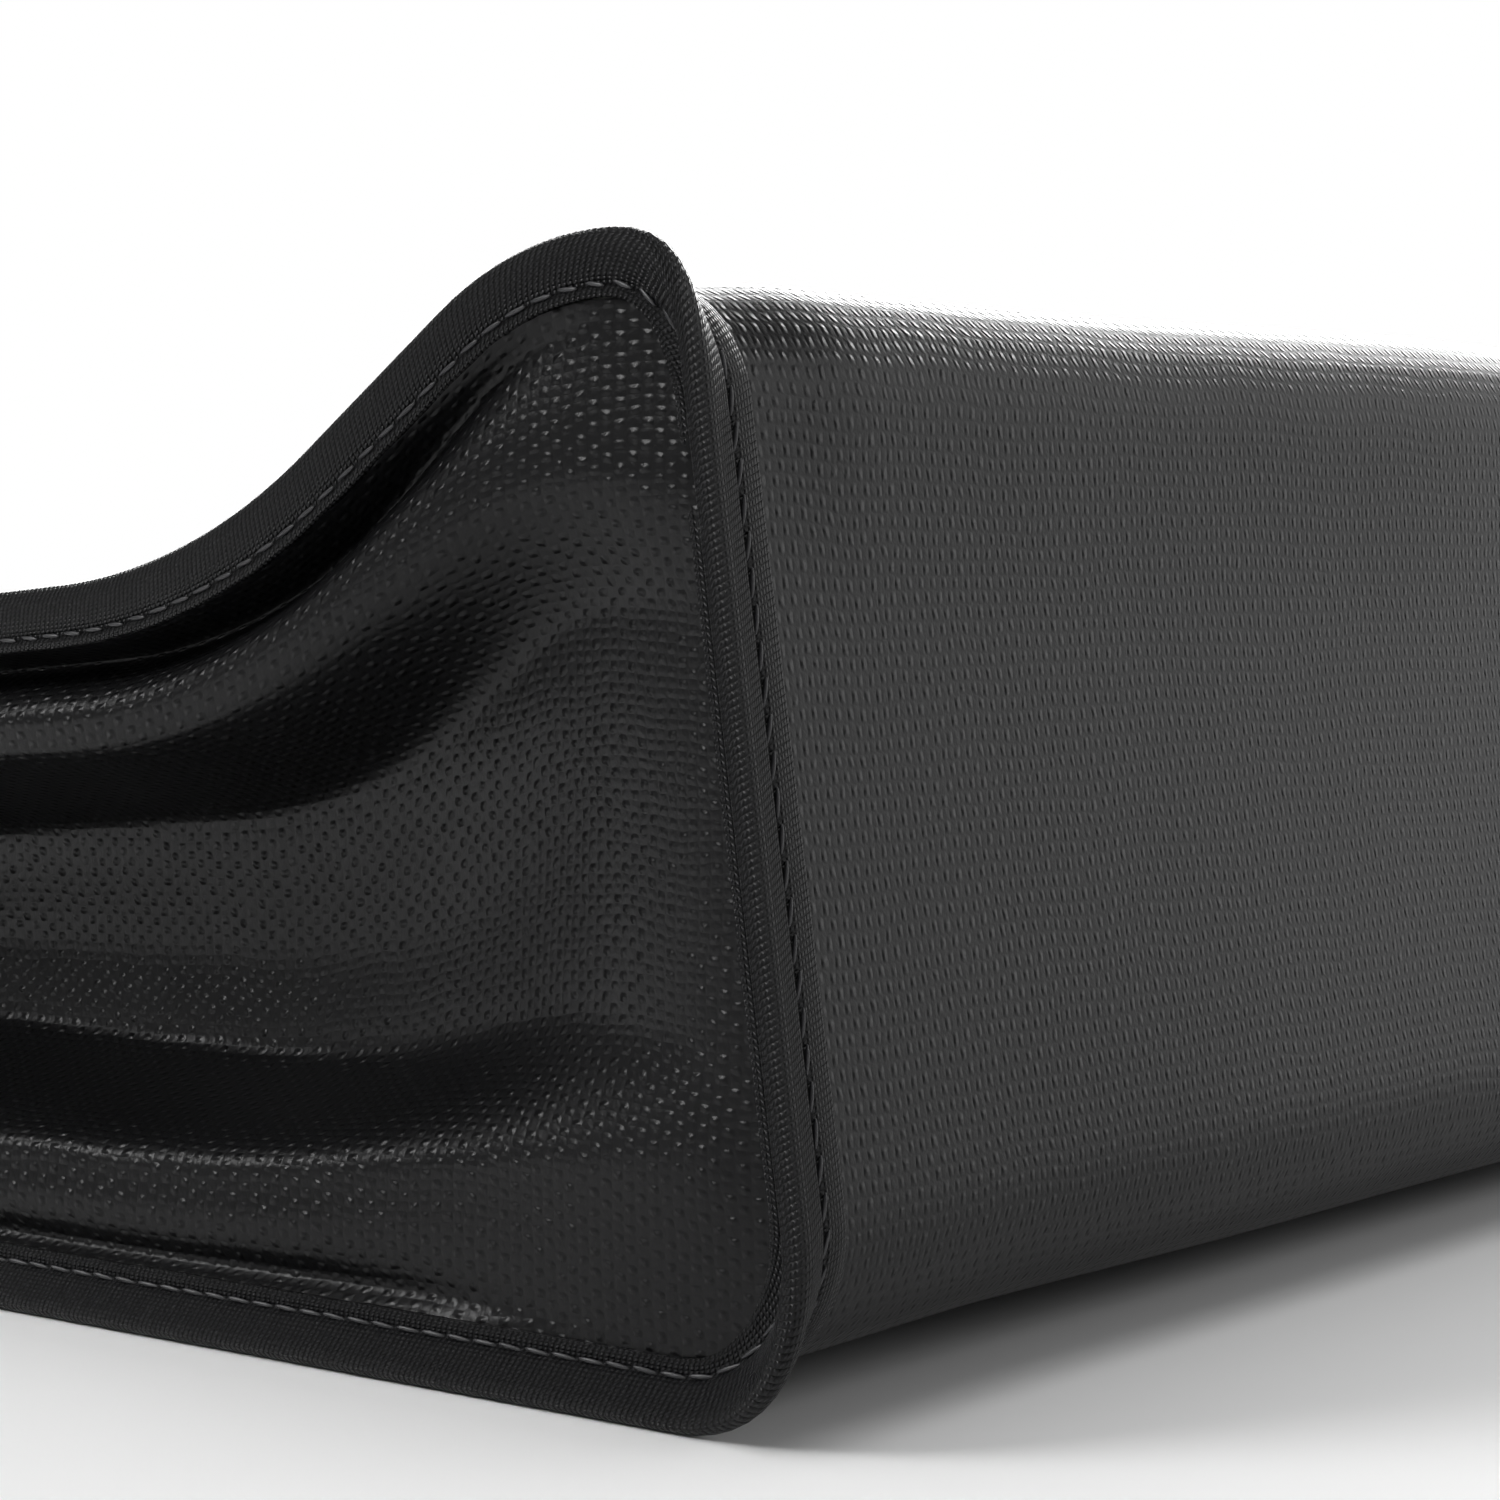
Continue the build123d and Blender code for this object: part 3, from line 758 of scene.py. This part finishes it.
def makeFlapSheet(name, low, high, depth, thickness, step, material):
    columns = round(2 * flapHalf / step)
    rows, uvRows = [], []
    lengths = stationsOf(flapPath, flap["bendStep"] if high < foldEnd else step, low, high)
    turnStart = flapLength - flap["cornerRadius"]
    if high > turnStart:
        lengths = [v for v in lengths if v < turnStart - 0.5]
        lengths += [turnStart + flap["cornerRadius"] * sin(radians(a)) for a in range(0, 91, 6)]
    for v in lengths:
        half = flapEdge(v) - (flap["liningInset"] if depth else 0)
        us = [-half + 2 * half * j / columns for j in range(columns + 1)]
        rows.append([flapPoint(u, v, -depth) for u in us])
        uvRows.append([(u, -v) for u in us])
    item = makeGrid(name, rows, uvRows, material, flip=True)
    thicken(item, thickness)
    return item


# Where each sheet's bend starts and ends
creaseBlend = (Vector((0, mouthY + 0.2, backZ)), Vector((0, spineY - 0.4, backZ + 2.4)))
foldBlend = (Vector((0, spineY - 0.4, foldZ)), Vector((0, foldX - 0.6, lipHigh.z - 2.2)))
for depth, thickness, step, material, slot, part in (
    (0, bag["shell"], flap["step"], clothMaterial, "coated_cloth", "shell"),
    (bag["shell"], bag["lining"], bag["liningStep"], liningMaterial, "liner_cloth", "liner"),
):
    word = "Cloth" if part == "shell" else "Lining"
    root = makeFlapSheet("flapRoot" + word, 0, spineMiddle, depth, thickness, step, material)
    dress(root, ["bag", "flap_spine"], slot, "spine_" + part, blend=creaseBlend)
    lip = makeFlapSheet("flapLip" + word, spineMiddle, flapLength, depth, thickness, step, material)
    dress(lip, ["flap_spine", "flap_lip"], slot, "lip_" + part, blend=foldBlend)
print("flap made")

# Tape and stitches on the bound side seams
seam = {
    "half": cloth + bag["tape"],  # from the stitch line to the tape's face on the panel side
    "reach": 3.0,
    "tilts": [18.0, 79.0, 5.0, 5.0, 5.0],  # at the back, the base and along the front
    "clearance": 0.1,
    "tail": 0.6,  # extra room where the seam leans outwards
    "thread": 0.2,
    "pressed": 0.4,  # the seam is pressed thinner on its gusset side
    "step": 1.0,
    "panelSkirt": 1.2,  # tape that lies on the panel, from its end
    "gussetSkirt": 0.65,  # tape that lies on the gusset, from the stitches
    "skirtHeight": 0.30,
    "waver": 0.10,
    "panelStitch": (0.20, 0.20),  # back from the fold, and sunk under the tape's face
    "gussetStitch": (0.02, 0.15),
}


def seamFrame(side, length):
    # Stitch line, reach and side direction of the bound seam, with the panel's outward direction and the tilt
    place, angle, passed = pathAt(bagPath, length)
    last = len(seam["tilts"]) - 1
    number = min(int(passed), last)
    tilt, nextTilt = seam["tilts"][number], seam["tilts"][min(number + 1, last)]
    lean = radians(tilt + (nextTilt - tilt) * smooth(passed - number))
    normal = turned(angle)
    at = place - normal * cloth * sin(lean)
    offset = seam["clearance"] + seam["tail"] * sin(lean) + (seam["half"] + seam["thread"]) * cos(lean)
    up = Vector((0, normal.x, normal.y))
    out = Vector((side, 0, 0))
    root = Vector((side * (panelHalf + offset), at.x, at.y))
    face = Vector((0, place.x, place.y))
    return root, out * sin(lean) + up * cos(lean), out * cos(lean) - up * sin(lean), up, out, lean, face


def seamRing(side, length):
    # The tape's outline: skirt on the panel, groove, rolled edge, groove, skirt on the gusset
    root, reach, across, up, out, lean, face = seamFrame(side, length)
    near, far = seam["half"], seam["pressed"]
    roll, middle = (near + far) / 2, (far - near) / 2
    waver = seam["waver"] * noise.noise(Vector((length / 3.0, 2.0, side)))
    nearSide = [(0.0, -near + 0.5), (0.25, -near + 0.2), (0.55, -near), (seam["reach"] - roll * 1.2, -near - 0.05)]
    bend = [(seam["reach"] - roll + roll * cos(radians(a)), middle + roll * sin(radians(a)))
            for a in range(-80, 81, 20)]
    farSide = [(seam["reach"] - roll * 1.2, far + 0.05), (0.45, far), (0.1, far - 0.2), (-0.1, far - 0.25)]
    fin = [root + reach * a + across * b for a, b in nearSide + bend + farSide]
    panel = face + out * (panelHalf - seam["panelSkirt"] + waver)
    gussetSkirt = seam["gussetSkirt"] + sin(lean) * (cloth + seam["half"]) + waver
    gussetSide = face + out * (panelHalf + gusset["outset"]) - up * gussetSkirt
    inner = [gussetSide - out * 0.2, root - reach * 0.3 + across * 0.2, root - reach * 0.3 - across * 0.4]
    skirt = seam["skirtHeight"] + 0.04 * noise.noise(Vector((length / 1.7, 5.0, side)))
    return [panel + up * 0.02, panel + up * skirt + out * 0.05, panel + up * (skirt + 0.03) + out * 0.8,
            panel + up * skirt + out * (seam["panelSkirt"] + 0.35), *fin,
            gussetSide + up * 0.4 + out * 0.36, gussetSide + out * 0.30, *inner]


def ringUvs(ring, length, middle):
    # u runs across the tape from its fold, at the ring's point number middle
    total, sums = 0.0, [0.0]
    for a, b in zip(ring, ring[1:] + ring[:1]):
        total += (b - a).length
        sums.append(total)
    return [(s - sums[middle], length) for s in sums]


def makeTapeTube(name, rings, lengths, middle):
    return makeGrid(name, rings, [ringUvs(r, n, middle) for r, n in zip(rings, lengths)], tapeMaterial, tube=True)


def newGeometryTree(name, inputs):
    tree = bpy.data.node_groups.new(name, "GeometryNodeTree")
    tree.interface.new_socket("Geometry", in_out="OUTPUT", socket_type="NodeSocketGeometry")
    for socket, kind in {"Geometry": "Geometry", **inputs}.items():
        tree.interface.new_socket(socket, in_out="INPUT", socket_type="NodeSocket" + kind)
    return tree, addNode(tree, "NodeGroupInput").outputs


def makeStitchTree():
    # Stitches along a line: one slim oval each, leaning a little to one side
    tree, given = newGeometryTree("stitchRow", {
        "Pitch": "Float", "Length": "Float", "Thickness": "Float", "Slant": "Float", "Uneven": "Float", "Seed": "Int"})
    line = addNode(tree, "GeometryNodeMeshToCurve", {0: given["Geometry"]})
    even = addNode(tree, "GeometryNodeResampleCurve", {0: line, "Length": given["Pitch"]}, mode="LENGTH")
    aim = addNode(tree, "FunctionNodeAlignRotationToVector",
                  {"Vector": addNode(tree, "GeometryNodeInputTangent")}, axis="Z")
    low = addNode(tree, "ShaderNodeMath", {0: given["Uneven"], 1: -1.0}, operation="MULTIPLY")
    jitter = addNode(tree, "FunctionNodeRandomValue",
                     {2: low, 3: given["Uneven"], "Seed": given["Seed"]}, data_type="FLOAT")
    lean = addNode(tree, "ShaderNodeMath", {0: given["Slant"], 1: jitter.outputs[1]}, operation="ADD")
    turn = addNode(tree, "ShaderNodeCombineXYZ", {0: lean, 1: lean})
    spin = addNode(tree, "FunctionNodeRotateRotation", {0: aim, 1: turn}, rotation_space="LOCAL")
    oval = addNode(tree, "GeometryNodeMeshUVSphere", {"Segments": 8, "Rings": 7, "Radius": 0.5})
    size = addNode(tree, "ShaderNodeCombineXYZ",
                   {0: given["Thickness"], 1: given["Thickness"], 2: given["Length"]})
    placed = addNode(tree, "GeometryNodeInstanceOnPoints",
                     {"Points": even, "Instance": oval, "Rotation": spin, "Scale": size})
    real = addNode(tree, "GeometryNodeRealizeInstances", {0: placed})
    rounded = addNode(tree, "GeometryNodeSetShadeSmooth", {0: real})
    dressed = addNode(tree, "GeometryNodeSetMaterial", {0: rounded, "Material": threadMaterial})
    addNode(tree, "NodeGroupOutput", {0: dressed})
    return tree


def grow(name, points, edges, tree, values):
    # Runs a node tree on points or lines and keeps the result as a plain mesh
    mesh = bpy.data.meshes.new(name)
    mesh.from_pydata([Vector(p) * mm for p in points], edges, [])
    item = bpy.data.objects.new(name, mesh)
    bpy.context.scene.collection.objects.link(item)
    modifier = item.modifiers.new("grow", "NODES")
    modifier.node_group = tree
    for socket in tree.interface.items_tree:
        if socket.in_out == "INPUT" and socket.name in values:
            modifier[socket.identifier] = values[socket.name]
    ready = item.evaluated_get(bpy.context.evaluated_depsgraph_get())
    plain = bpy.data.meshes.new_from_object(ready)
    item.modifiers.remove(modifier)
    material = plain.materials[-1]  # the one that the tree set
    plain.materials.clear()
    plain.materials.append(material)
    item.data = plain
    return item


seamStitch = {"Pitch": 1.94 * mm, "Length": 1.7 * mm, "Thickness": 0.3 * mm, "Slant": 0.12, "Uneven": 0.06,
              "Seed": 4}
fineStitch = {**seamStitch, "Pitch": 2.2 * mm, "Length": 1.8 * mm, "Thickness": 0.26 * mm}


def stitch(name, lines, values=seamStitch):
    # One row of stitches along each line
    points, edges = [], []
    for line in lines:
        first = len(points)
        points += line
        edges += [(first + i, first + i + 1) for i in range(len(line) - 1)]
    return grow(name, points, edges, stitchTree, values)


stitchTree = makeStitchTree()
for side, word in ((-1, "left"), (1, "right")):
    lengths = stationsOf(bagPath, seam["step"])
    tape = makeTapeTube(word + "SeamTape", [seamRing(side, n) for n in lengths], lengths, 12)
    dress(tape, ["bag"], "binding_tape", word + "_seam_binding", word + "_seam_allowance")
    lines = [[], []]
    for length in lengths:
        root, reach, across = seamFrame(side, length)[:3]
        back, sunk = seam["panelStitch"]
        lines[0].append(root - across * (seam["half"] - sunk) - reach * back)
        back, sunk = seam["gussetStitch"]
        lines[1].append(root + across * (seam["pressed"] - sunk) - reach * back)
    dress(stitch(word + "SeamStitches", lines), ["bag"], "thread", word + "_seam_stitching")
print("seams made")

# Tape folded over the cloth's free edges
binding = {
    "stitchInset": 0.9,  # from the tape's inner edge
    "groove": 0.16,  # the stitches pull the tape in
    "swell": 0.06,
    "sunk": 0.06,
    "step": 1.0,
    "lipStep": 2.0,
    "gussetStart": 2.4,  # clear of the back's seam
    "gussetEnd": 3.0,  # and of the front's
}


def edgeRing(place, u, v, inwardU, inwardV):
    # place(u, v, height) is the cloth's outer face; the ring runs over the edge and back under it
    tape, leg = bag["tape"], bag["tapeLeg"]
    radius = cloth / 2 + tape
    face = [(leg, 0.03), (leg, tape * 0.75), (leg - 0.3, tape),
            (leg - binding["stitchInset"], tape - binding["groove"]), (leg - 1.5, tape),
            (leg * 0.4, tape + binding["swell"]), (0.25, tape)]
    turn = [(-0.75 * radius * cos(radians(a)), radius * sin(radians(a)) - cloth / 2) for a in range(65, -66, -26)]
    back = [(inset, -cloth - height) for inset, height in reversed(face)]
    section = [*face, *turn, *back, (0.3, -cloth + 0.1), (0.3, -0.1)]
    return [place(u + inwardU * inset, v + inwardV * inset, height) for inset, height in section]


def bindEdge(name, place, edge, bodies, nodes, blend=None):
    # edge is a list of (u, v, inwardU, inwardV); stitches are sunk in the tape near its inner edge, on both faces
    tape = makeTapeTube(name + "Tape", [edgeRing(place, *station) for station in edge], runningLengths(edge), 9)
    dress(tape, bodies, "binding_tape", *nodes[0], blend=blend)
    inset = bag["tapeLeg"] - binding["stitchInset"]
    top = bag["tape"] - binding["sunk"]
    heights = (top, -cloth - top)
    lines = [[place(u + du * inset, v + dv * inset, h) for u, v, du, dv in edge] for h in heights]
    dress(stitch(name + "Stitches", lines), bodies, "thread", *nodes[1], blend=blend)


def flapSideEdge(side, low, high):
    return [(side * flapEdge(v), v, -side, 0) for v in stationsOf(flapPath, binding["step"], low, high)]


def flapLipEdge():
    # Down one side, round the free edge and back up the other side
    radius, turnStart = flap["cornerRadius"], flapLength - flap["cornerRadius"]
    down = flapSideEdge(-1, spineMiddle, turnStart)
    half = flapHalf - radius
    corner = [(-half - radius * cos(a), turnStart + radius * sin(a), cos(a), -sin(a))
              for a in map(radians, range(4, 90, 4))]
    bottom = [(u, flapLength, 0, -1) for u in evenSteps(-half, half, binding["lipStep"])]
    mirror = [(-u, v, -du, dv) for u, v, du, dv in reversed(down + corner)]
    return down + corner + bottom + mirror


rootTapeStart = strip["rootLength"] + flap["tapeStart"]
for side, word in ((-1, "left"), (1, "right")):
    bindEdge(word + "FlapRoot", flapPoint, flapSideEdge(side, rootTapeStart, spineMiddle), ["bag", "flap_spine"],
             [[word + "_spine_binding"], []], creaseBlend)
bindEdge("flapLip", flapPoint, flapLipEdge(), ["flap_spine", "flap_lip"],
         [["lip_binding"], ["lip_binding_stitching"]], foldBlend)

mouthEdge = [(x, bagLength, 0, -1) for x in evenSteps(-mouthTapeHigh.x, mouthTapeHigh.x, mouthTapeHigh.x / 60)]
bindEdge("mouthFront", stripPoint, mouthEdge, ["bag"], [["mouth_front_binding"], ["mouth_front_stitching"]])


def gussetPlace(side):
    def place(along, y, height):
        return gussetRow(side, y, [along / gussetCut], -height)[0]
    return place


run = gussetCut - binding["gussetStart"] - binding["gussetEnd"]
edge = [(binding["gussetStart"] + run * i / 70, mouthY, 0, -1) for i in range(71)]
for side, word in ((-1, "left"), (1, "right")):
    bindEdge(word + "Mouth", gussetPlace(side), edge, ["bag"], [[word + "_mouth_binding"], []])
print("edges bound")

# Hook and loop strips
fastener = {
    "backing": 0.5,  # woven strip under the pile
    "backingStep": 3.0,
    "softEdge": 0.12,
    "loopCount": 3600,
    "loopMargin": 2.2,  # bare strip at the edges, where it is sewn on
    "loopSeed": 7,
    "hookPitch": 1.7,
    "hookMargin": 2.4,
    "stitchInset": 1.5,
}
loopFibre = {"Size": 0.45 * mm, "Thickness": 0.07 * mm, "Sweep": pi, "Spin": 2 * pi, "Lean": 0.4, "Seed": 2,
             "Fibre": loopMaterial}
hookFibre = {"Size": 0.42 * mm, "Thickness": 0.1 * mm, "Sweep": -pi * 1.15, "Spin": 0.3, "Lean": 0.1, "Seed": 5,
             "Fibre": hookMaterial}


def makeSlab(name, place, us, vLow, vHigh, low, high, material):
    # A strip of webbing: u along it, v across it, between two heights, with softened edges
    soft = high - fastener["softEdge"]
    steps = [vLow + 0.15 + (vHigh - vLow - 0.3) * i / 6 for i in range(7)]
    section = [(vLow, low), (vLow, soft), *[(v, high) for v in steps], (vHigh, soft), (vHigh, low)]
    section += [(v, low) for v in reversed(steps)]
    rings = [[place(u, v, h) for v, h in section] for u in us]
    uvRows = [[(v + h, u) for v, h in [*section, section[0]]] for u in us]
    return makeGrid(name, rings, uvRows, material, tube=True)


def makePileTree():
    # Bent fibres standing on points: an arc of wire each, turned about its upright and leaning a little
    tree, given = newGeometryTree("fibrePile", {
        "Size": "Float", "Thickness": "Float", "Sweep": "Float", "Spin": "Float", "Lean": "Float", "Seed": "Int",
        "Fibre": "Material"})
    arc = addNode(tree, "GeometryNodeCurveArc",
                  {"Resolution": 6, "Radius": given["Size"], "Sweep Angle": given["Sweep"]})
    wire = addNode(tree, "GeometryNodeCurvePrimitiveCircle", {"Resolution": 3, "Radius": given["Thickness"]})
    fibre = addNode(tree, "GeometryNodeCurveToMesh", {0: arc, 1: wire})
    upright = addNode(tree, "GeometryNodeTransform", {0: fibre, "Rotation": (pi / 2, 0, 0)})
    leanLow = addNode(tree, "ShaderNodeMath", {0: given["Lean"], 1: -1.0}, operation="MULTIPLY")
    leanBy = addNode(tree, "FunctionNodeRandomValue", {2: leanLow, 3: given["Lean"], "Seed": given["Seed"]},
                     data_type="FLOAT")
    spinBy = addNode(tree, "FunctionNodeRandomValue", {2: 0.0, 3: given["Spin"], "Seed": given["Seed"]},
                     data_type="FLOAT")
    turn = addNode(tree, "ShaderNodeCombineXYZ", {0: leanBy.outputs[1], 2: spinBy.outputs[1]})
    placed = addNode(tree, "GeometryNodeInstanceOnPoints",
                     {"Points": given["Geometry"], "Instance": upright, "Rotation": turn})
    real = addNode(tree, "GeometryNodeRealizeInstances", {0: placed})
    dressed = addNode(tree, "GeometryNodeSetMaterial", {0: real, "Material": given["Fibre"]})
    addNode(tree, "NodeGroupOutput", {0: dressed})
    return tree


def lengthAt(y):
    # Length along the strip at a place on the front panel's straight stretch
    return bagLength - (mouthY - y) / cos(radians(bag["frontSlope"]))


def flapAt(y):
    # Length along the flap at a place on its lip
    return flapLength - (y - lipLow.y) / cos(radians(lipTilt))


pileTree = makePileTree()
loopLine = [lengthAt(loopLow.y), lengthAt(loopHigh.y)]
loopBack = makeSlab("loopBacking", stripPoint, evenSteps(loopLow.x, loopHigh.x, fastener["backingStep"]), *loopLine,
                    0.0, fastener["backing"], loopMaterial)
dress(loopBack, ["bag"], "loop_pile", "loop_strip")
points = []
scatter = Random(fastener["loopSeed"])
margin = fastener["loopMargin"]
for i in range(fastener["loopCount"]):
    x = scatter.uniform(loopLow.x + margin, loopHigh.x - margin)
    v = scatter.uniform(loopLine[0] + margin, loopLine[1] - margin)
    points.append(stripPoint(x, v, fastener["backing"] - 0.05))
dress(grow("loopPile", points, [], pileTree, loopFibre), ["bag"], "loop_pile")

hookLine = [flapAt(hookHigh.y), flapAt(hookLow.y)]
hookFace = -cloth - fastener["backing"]
hookBack = makeSlab("hookBacking", flapPoint, evenSteps(hookLow.x, hookHigh.x, fastener["backingStep"]), *hookLine,
                    hookFace, -cloth, hookMaterial)
dress(hookBack, ["flap_lip"], "hook_pile", "hook_strip")
points = []
margin = fastener["hookMargin"]
for v in evenSteps(hookLine[0] + margin, hookLine[1] - margin, fastener["hookPitch"]):
    for x in evenSteps(hookLow.x + margin, hookHigh.x - margin, fastener["hookPitch"]):
        points.append(flapPoint(x, v, hookFace + 0.02))
dress(grow("hookPile", points, [], pileTree, hookFibre), ["flap_lip"], "hook_pile")


def boxLine(place, xLow, xHigh, vLow, vHigh, height):
    # A line of stitches right round a strip, near its edges
    inset = fastener["stitchInset"]
    xs = evenSteps(xLow + inset, xHigh - inset, 3.0)
    vs = evenSteps(vLow + inset, vHigh - inset, 2.0)
    around = [(x, vs[0]) for x in xs] + [(xs[-1], v) for v in vs[1:]]
    around += [(x, vs[-1]) for x in reversed(xs[:-1])] + [(xs[0], v) for v in reversed(vs[:-1])]
    return [place(x, v, height) for x, v in around]


loopStitches = stitch("loopStripStitches", [
    boxLine(stripPoint, loopLow.x, loopHigh.x, *loopLine, fastener["backing"] + 0.02)], fineStitch)
dress(loopStitches, ["bag"], "thread", "loop_strip_stitching")
hookStitches = stitch("hookStripStitches", [
    boxLine(flapPoint, hookLow.x, hookHigh.x, *hookLine, 0.03),
    boxLine(flapPoint, hookLow.x, hookHigh.x, *hookLine, hookFace - 0.02)], fineStitch)
dress(hookStitches, ["flap_lip"], "thread", "hook_strip_stitching")
print("fastener made")

# Pull tab: webbing sewn under the lip, its end turned back and stitched
tab = {
    "thickness": 1.2,
    "hem": 7.0,
    "hemStitches": (1.0, 2.6),  # from the hem's start
    "underTape": 0.06,
    "hingeGap": 0.9,  # from the lip's edge to the free webbing
    "lift": 1.5,
    "ripple": 0.5,
}
tabTop = -cloth - bag["tape"] - tab["underTape"]
tabHalf = tabHigh.x
tabStart = flapLength - (anchorHigh.y - lipLow.y) / cos(radians(lipTilt))
tabEnd = flapLength + bag["tape"] + tab["hingeGap"] + tabHigh.y - tabLow.y
thick = tab["thickness"]
tabSection = [(-tabHalf, -thick + 0.15), (-tabHalf, -0.15), (-tabHalf + 0.3, 0), (0, 0.02), (tabHalf - 0.3, 0)]
tabSection += [(-u, -thick - h) for u, h in tabSection]


def tabPoint(u, v, height):
    reach = max(0.0, v - flapLength)
    base = flapPoint(u, min(v, flapLength), 0.0)
    down = Vector((0, lipDown.x, lipDown.y)) * reach
    normal = Vector((0, lipNormal.x, lipNormal.y))
    bow = tab["lift"] * smooth(reach / 30) + tab["ripple"] * sin(reach / 8) * (1 - (u / 14) ** 2) * smooth(reach / 6)
    return base + down + normal * (tabTop + height + bow)


def makeWebbingPiece(name, places, along):
    # places: how far along the tab, and how high the webbing's top face lies there
    rows = [[tabPoint(u, v, height + h) for u, h in tabSection] for v, height in places]
    uvRows = [[(u + h, along * v) for u, h in [*tabSection, tabSection[0]]] for v, height in places]
    return makeGrid(name, rows, uvRows, webbingMaterial, tube=True)


webbingTab = makeWebbingPiece("pullTab", [(v, 0.0) for v in evenSteps(tabStart, tabEnd - 0.6, 1.0)], 1)
hemPlaces = []
for v in evenSteps(tabEnd - tab["hem"], tabEnd - 0.2, 0.8):
    turnDown = smooth((v - tabEnd + 2.0) / 2.0)
    hemPlaces.append((v, thick * (1 - turnDown * 0.5) + 0.05))
hem = makeWebbingPiece("pullTabHem", hemPlaces, -1)
tabBlend = (Vector((0, lipLow.y + 0.3, lipHigh.z)), Vector((0, lipLow.y - 3.0, lipHigh.z)))
dress(webbingTab, ["flap_lip", "pull_tab"], "webbing", "pull_tab", "pull_tab_anchor", blend=tabBlend)
dress(hem, ["pull_tab"], "webbing")
us = evenSteps(-tabHalf + fastener["stitchInset"], tabHalf - fastener["stitchInset"], 1.0)
lines = [[tabPoint(u, tabEnd - tab["hem"] + inset, thick + 0.08) for u in us] for inset in tab["hemStitches"]]
dress(stitch("pullTabStitches", lines, fineStitch), ["pull_tab"], "thread", "pull_tab_stitching")
print("pull tab made")

# Floor, backdrop, light and camera
studio = {
    "floorColour": "#ececec",
    "floorHalf": 2.5,  # metres
    "floorLevel": -0.04,  # just under the seams' tape
    "whiteFrom": 0.4,  # metres from the bag's middle
    "whiteTo": 0.8,
    "ambient": 0.14,
    "lens": 89.6,
    "cameraPlace": (-272.2, -206.4, 47.4),
    "cameraTilt": -3.07,  # from level
    "cameraTurn": -52.3,
}
# Place and aim in metres, size in metres, power in watts, spread in degrees
softboxes = {
    "overheadSoftbox": ((-0.15, 0.0, 1.0), (-0.08, -0.05, 0.03), (0.9, 0.8), 6.0, 180),
    "backSoftbox": ((1.35, 0.85, 0.45), (0.0, -0.05, 0.06), (1.6, 0.9), 48.0, 180),
    "sideSoftbox": ((-0.85, 0.6, 0.75), (-0.11, -0.04, 0.04), (0.5, 0.5), 1.0, 50),
    "baseSoftbox": ((1.2, -0.6, 0.45), (0.0, -0.09, 0.04), (2.0, 0.9), 6.2, 180),
    "frontSoftbox": ((0.3, -1.0, 0.6), (0.0, -0.15, 0.0), (0.8, 0.5), 2.2, 180),
}


def makeFloor():
    # White paper sweep: dull, turning to plain white in the distance
    material, tree = newMaterial("paperSweep")
    paper = addNode(tree, "ShaderNodeBsdfPrincipled", {"Base Color": colour(studio["floorColour"]), "Roughness": 0.6})
    coords = addNode(tree, "ShaderNodeTexCoord")
    away = addNode(tree, "ShaderNodeVectorMath", {0: coords.outputs["Object"]}, operation="LENGTH")
    share = addNode(tree, "ShaderNodeMapRange",
                    {0: away.outputs[1], 1: studio["whiteFrom"], 2: studio["whiteTo"]}, clamp=True)
    ray = addNode(tree, "ShaderNodeLightPath")
    seen = addNode(tree, "ShaderNodeMath", {0: share, 1: ray.outputs["Is Camera Ray"]}, operation="MULTIPLY")
    glow = addNode(tree, "ShaderNodeEmission", {0: (1, 1, 1, 1), 1: 1.0})
    mixed = addNode(tree, "ShaderNodeMixShader", {0: seen, 1: paper, 2: glow})
    addNode(tree, "ShaderNodeOutputMaterial", {"Surface": mixed})
    half = studio["floorHalf"] / mm
    corners = [(-1, -1), (1, -1), (1, 1), (-1, 1)]
    points = [(x * half, y * half, studio["floorLevel"]) for x, y in corners]
    makeObject("floor", points, [(0, 1, 2, 3)], [corners], material)


def makeWorld():
    # Plain white to the camera, and a dim even light on everything
    world = bpy.data.worlds.new("studio")
    world.use_nodes = True
    tree = world.node_tree
    tree.nodes.clear()
    ray = addNode(tree, "ShaderNodeLightPath")
    dim = addNode(tree, "ShaderNodeBackground", {0: (1, 1, 1, 1), 1: studio["ambient"]})
    white = addNode(tree, "ShaderNodeBackground", {0: (1, 1, 1, 1), 1: 1.0})
    pick = addNode(tree, "ShaderNodeMixShader", {0: ray.outputs["Is Camera Ray"], 1: dim, 2: white})
    addNode(tree, "ShaderNodeOutputWorld", {0: pick})
    bpy.context.scene.world = world


def addLight(name, place, aim, size, power, spread):
    data = bpy.data.lights.new(name, "AREA")
    data.shape = "RECTANGLE"
    data.size, data.size_y = size
    data.energy = power
    data.spread = radians(spread)
    lamp = bpy.data.objects.new(name, data)
    lamp.location = place
    lamp.rotation_euler = (Vector(aim) - Vector(place)).to_track_quat("-Z", "Y").to_euler()
    bpy.context.scene.collection.objects.link(lamp)


def makeCamera():
    data = bpy.data.cameras.new("camera")
    data.lens = studio["lens"]
    data.sensor_width = 36
    data.clip_start = 0.01
    camera = bpy.data.objects.new("camera", data)
    camera.location = Vector(studio["cameraPlace"]) * mm
    camera.rotation_euler = (radians(90 + studio["cameraTilt"]), 0, radians(studio["cameraTurn"]))
    bpy.context.scene.collection.objects.link(camera)
    bpy.context.scene.camera = camera


makeFloor()
makeWorld()
makeCamera()
for name, values in softboxes.items():
    addLight(name, *values)
bpy.context.scene.view_settings.view_transform = "Standard"
print("studio made")
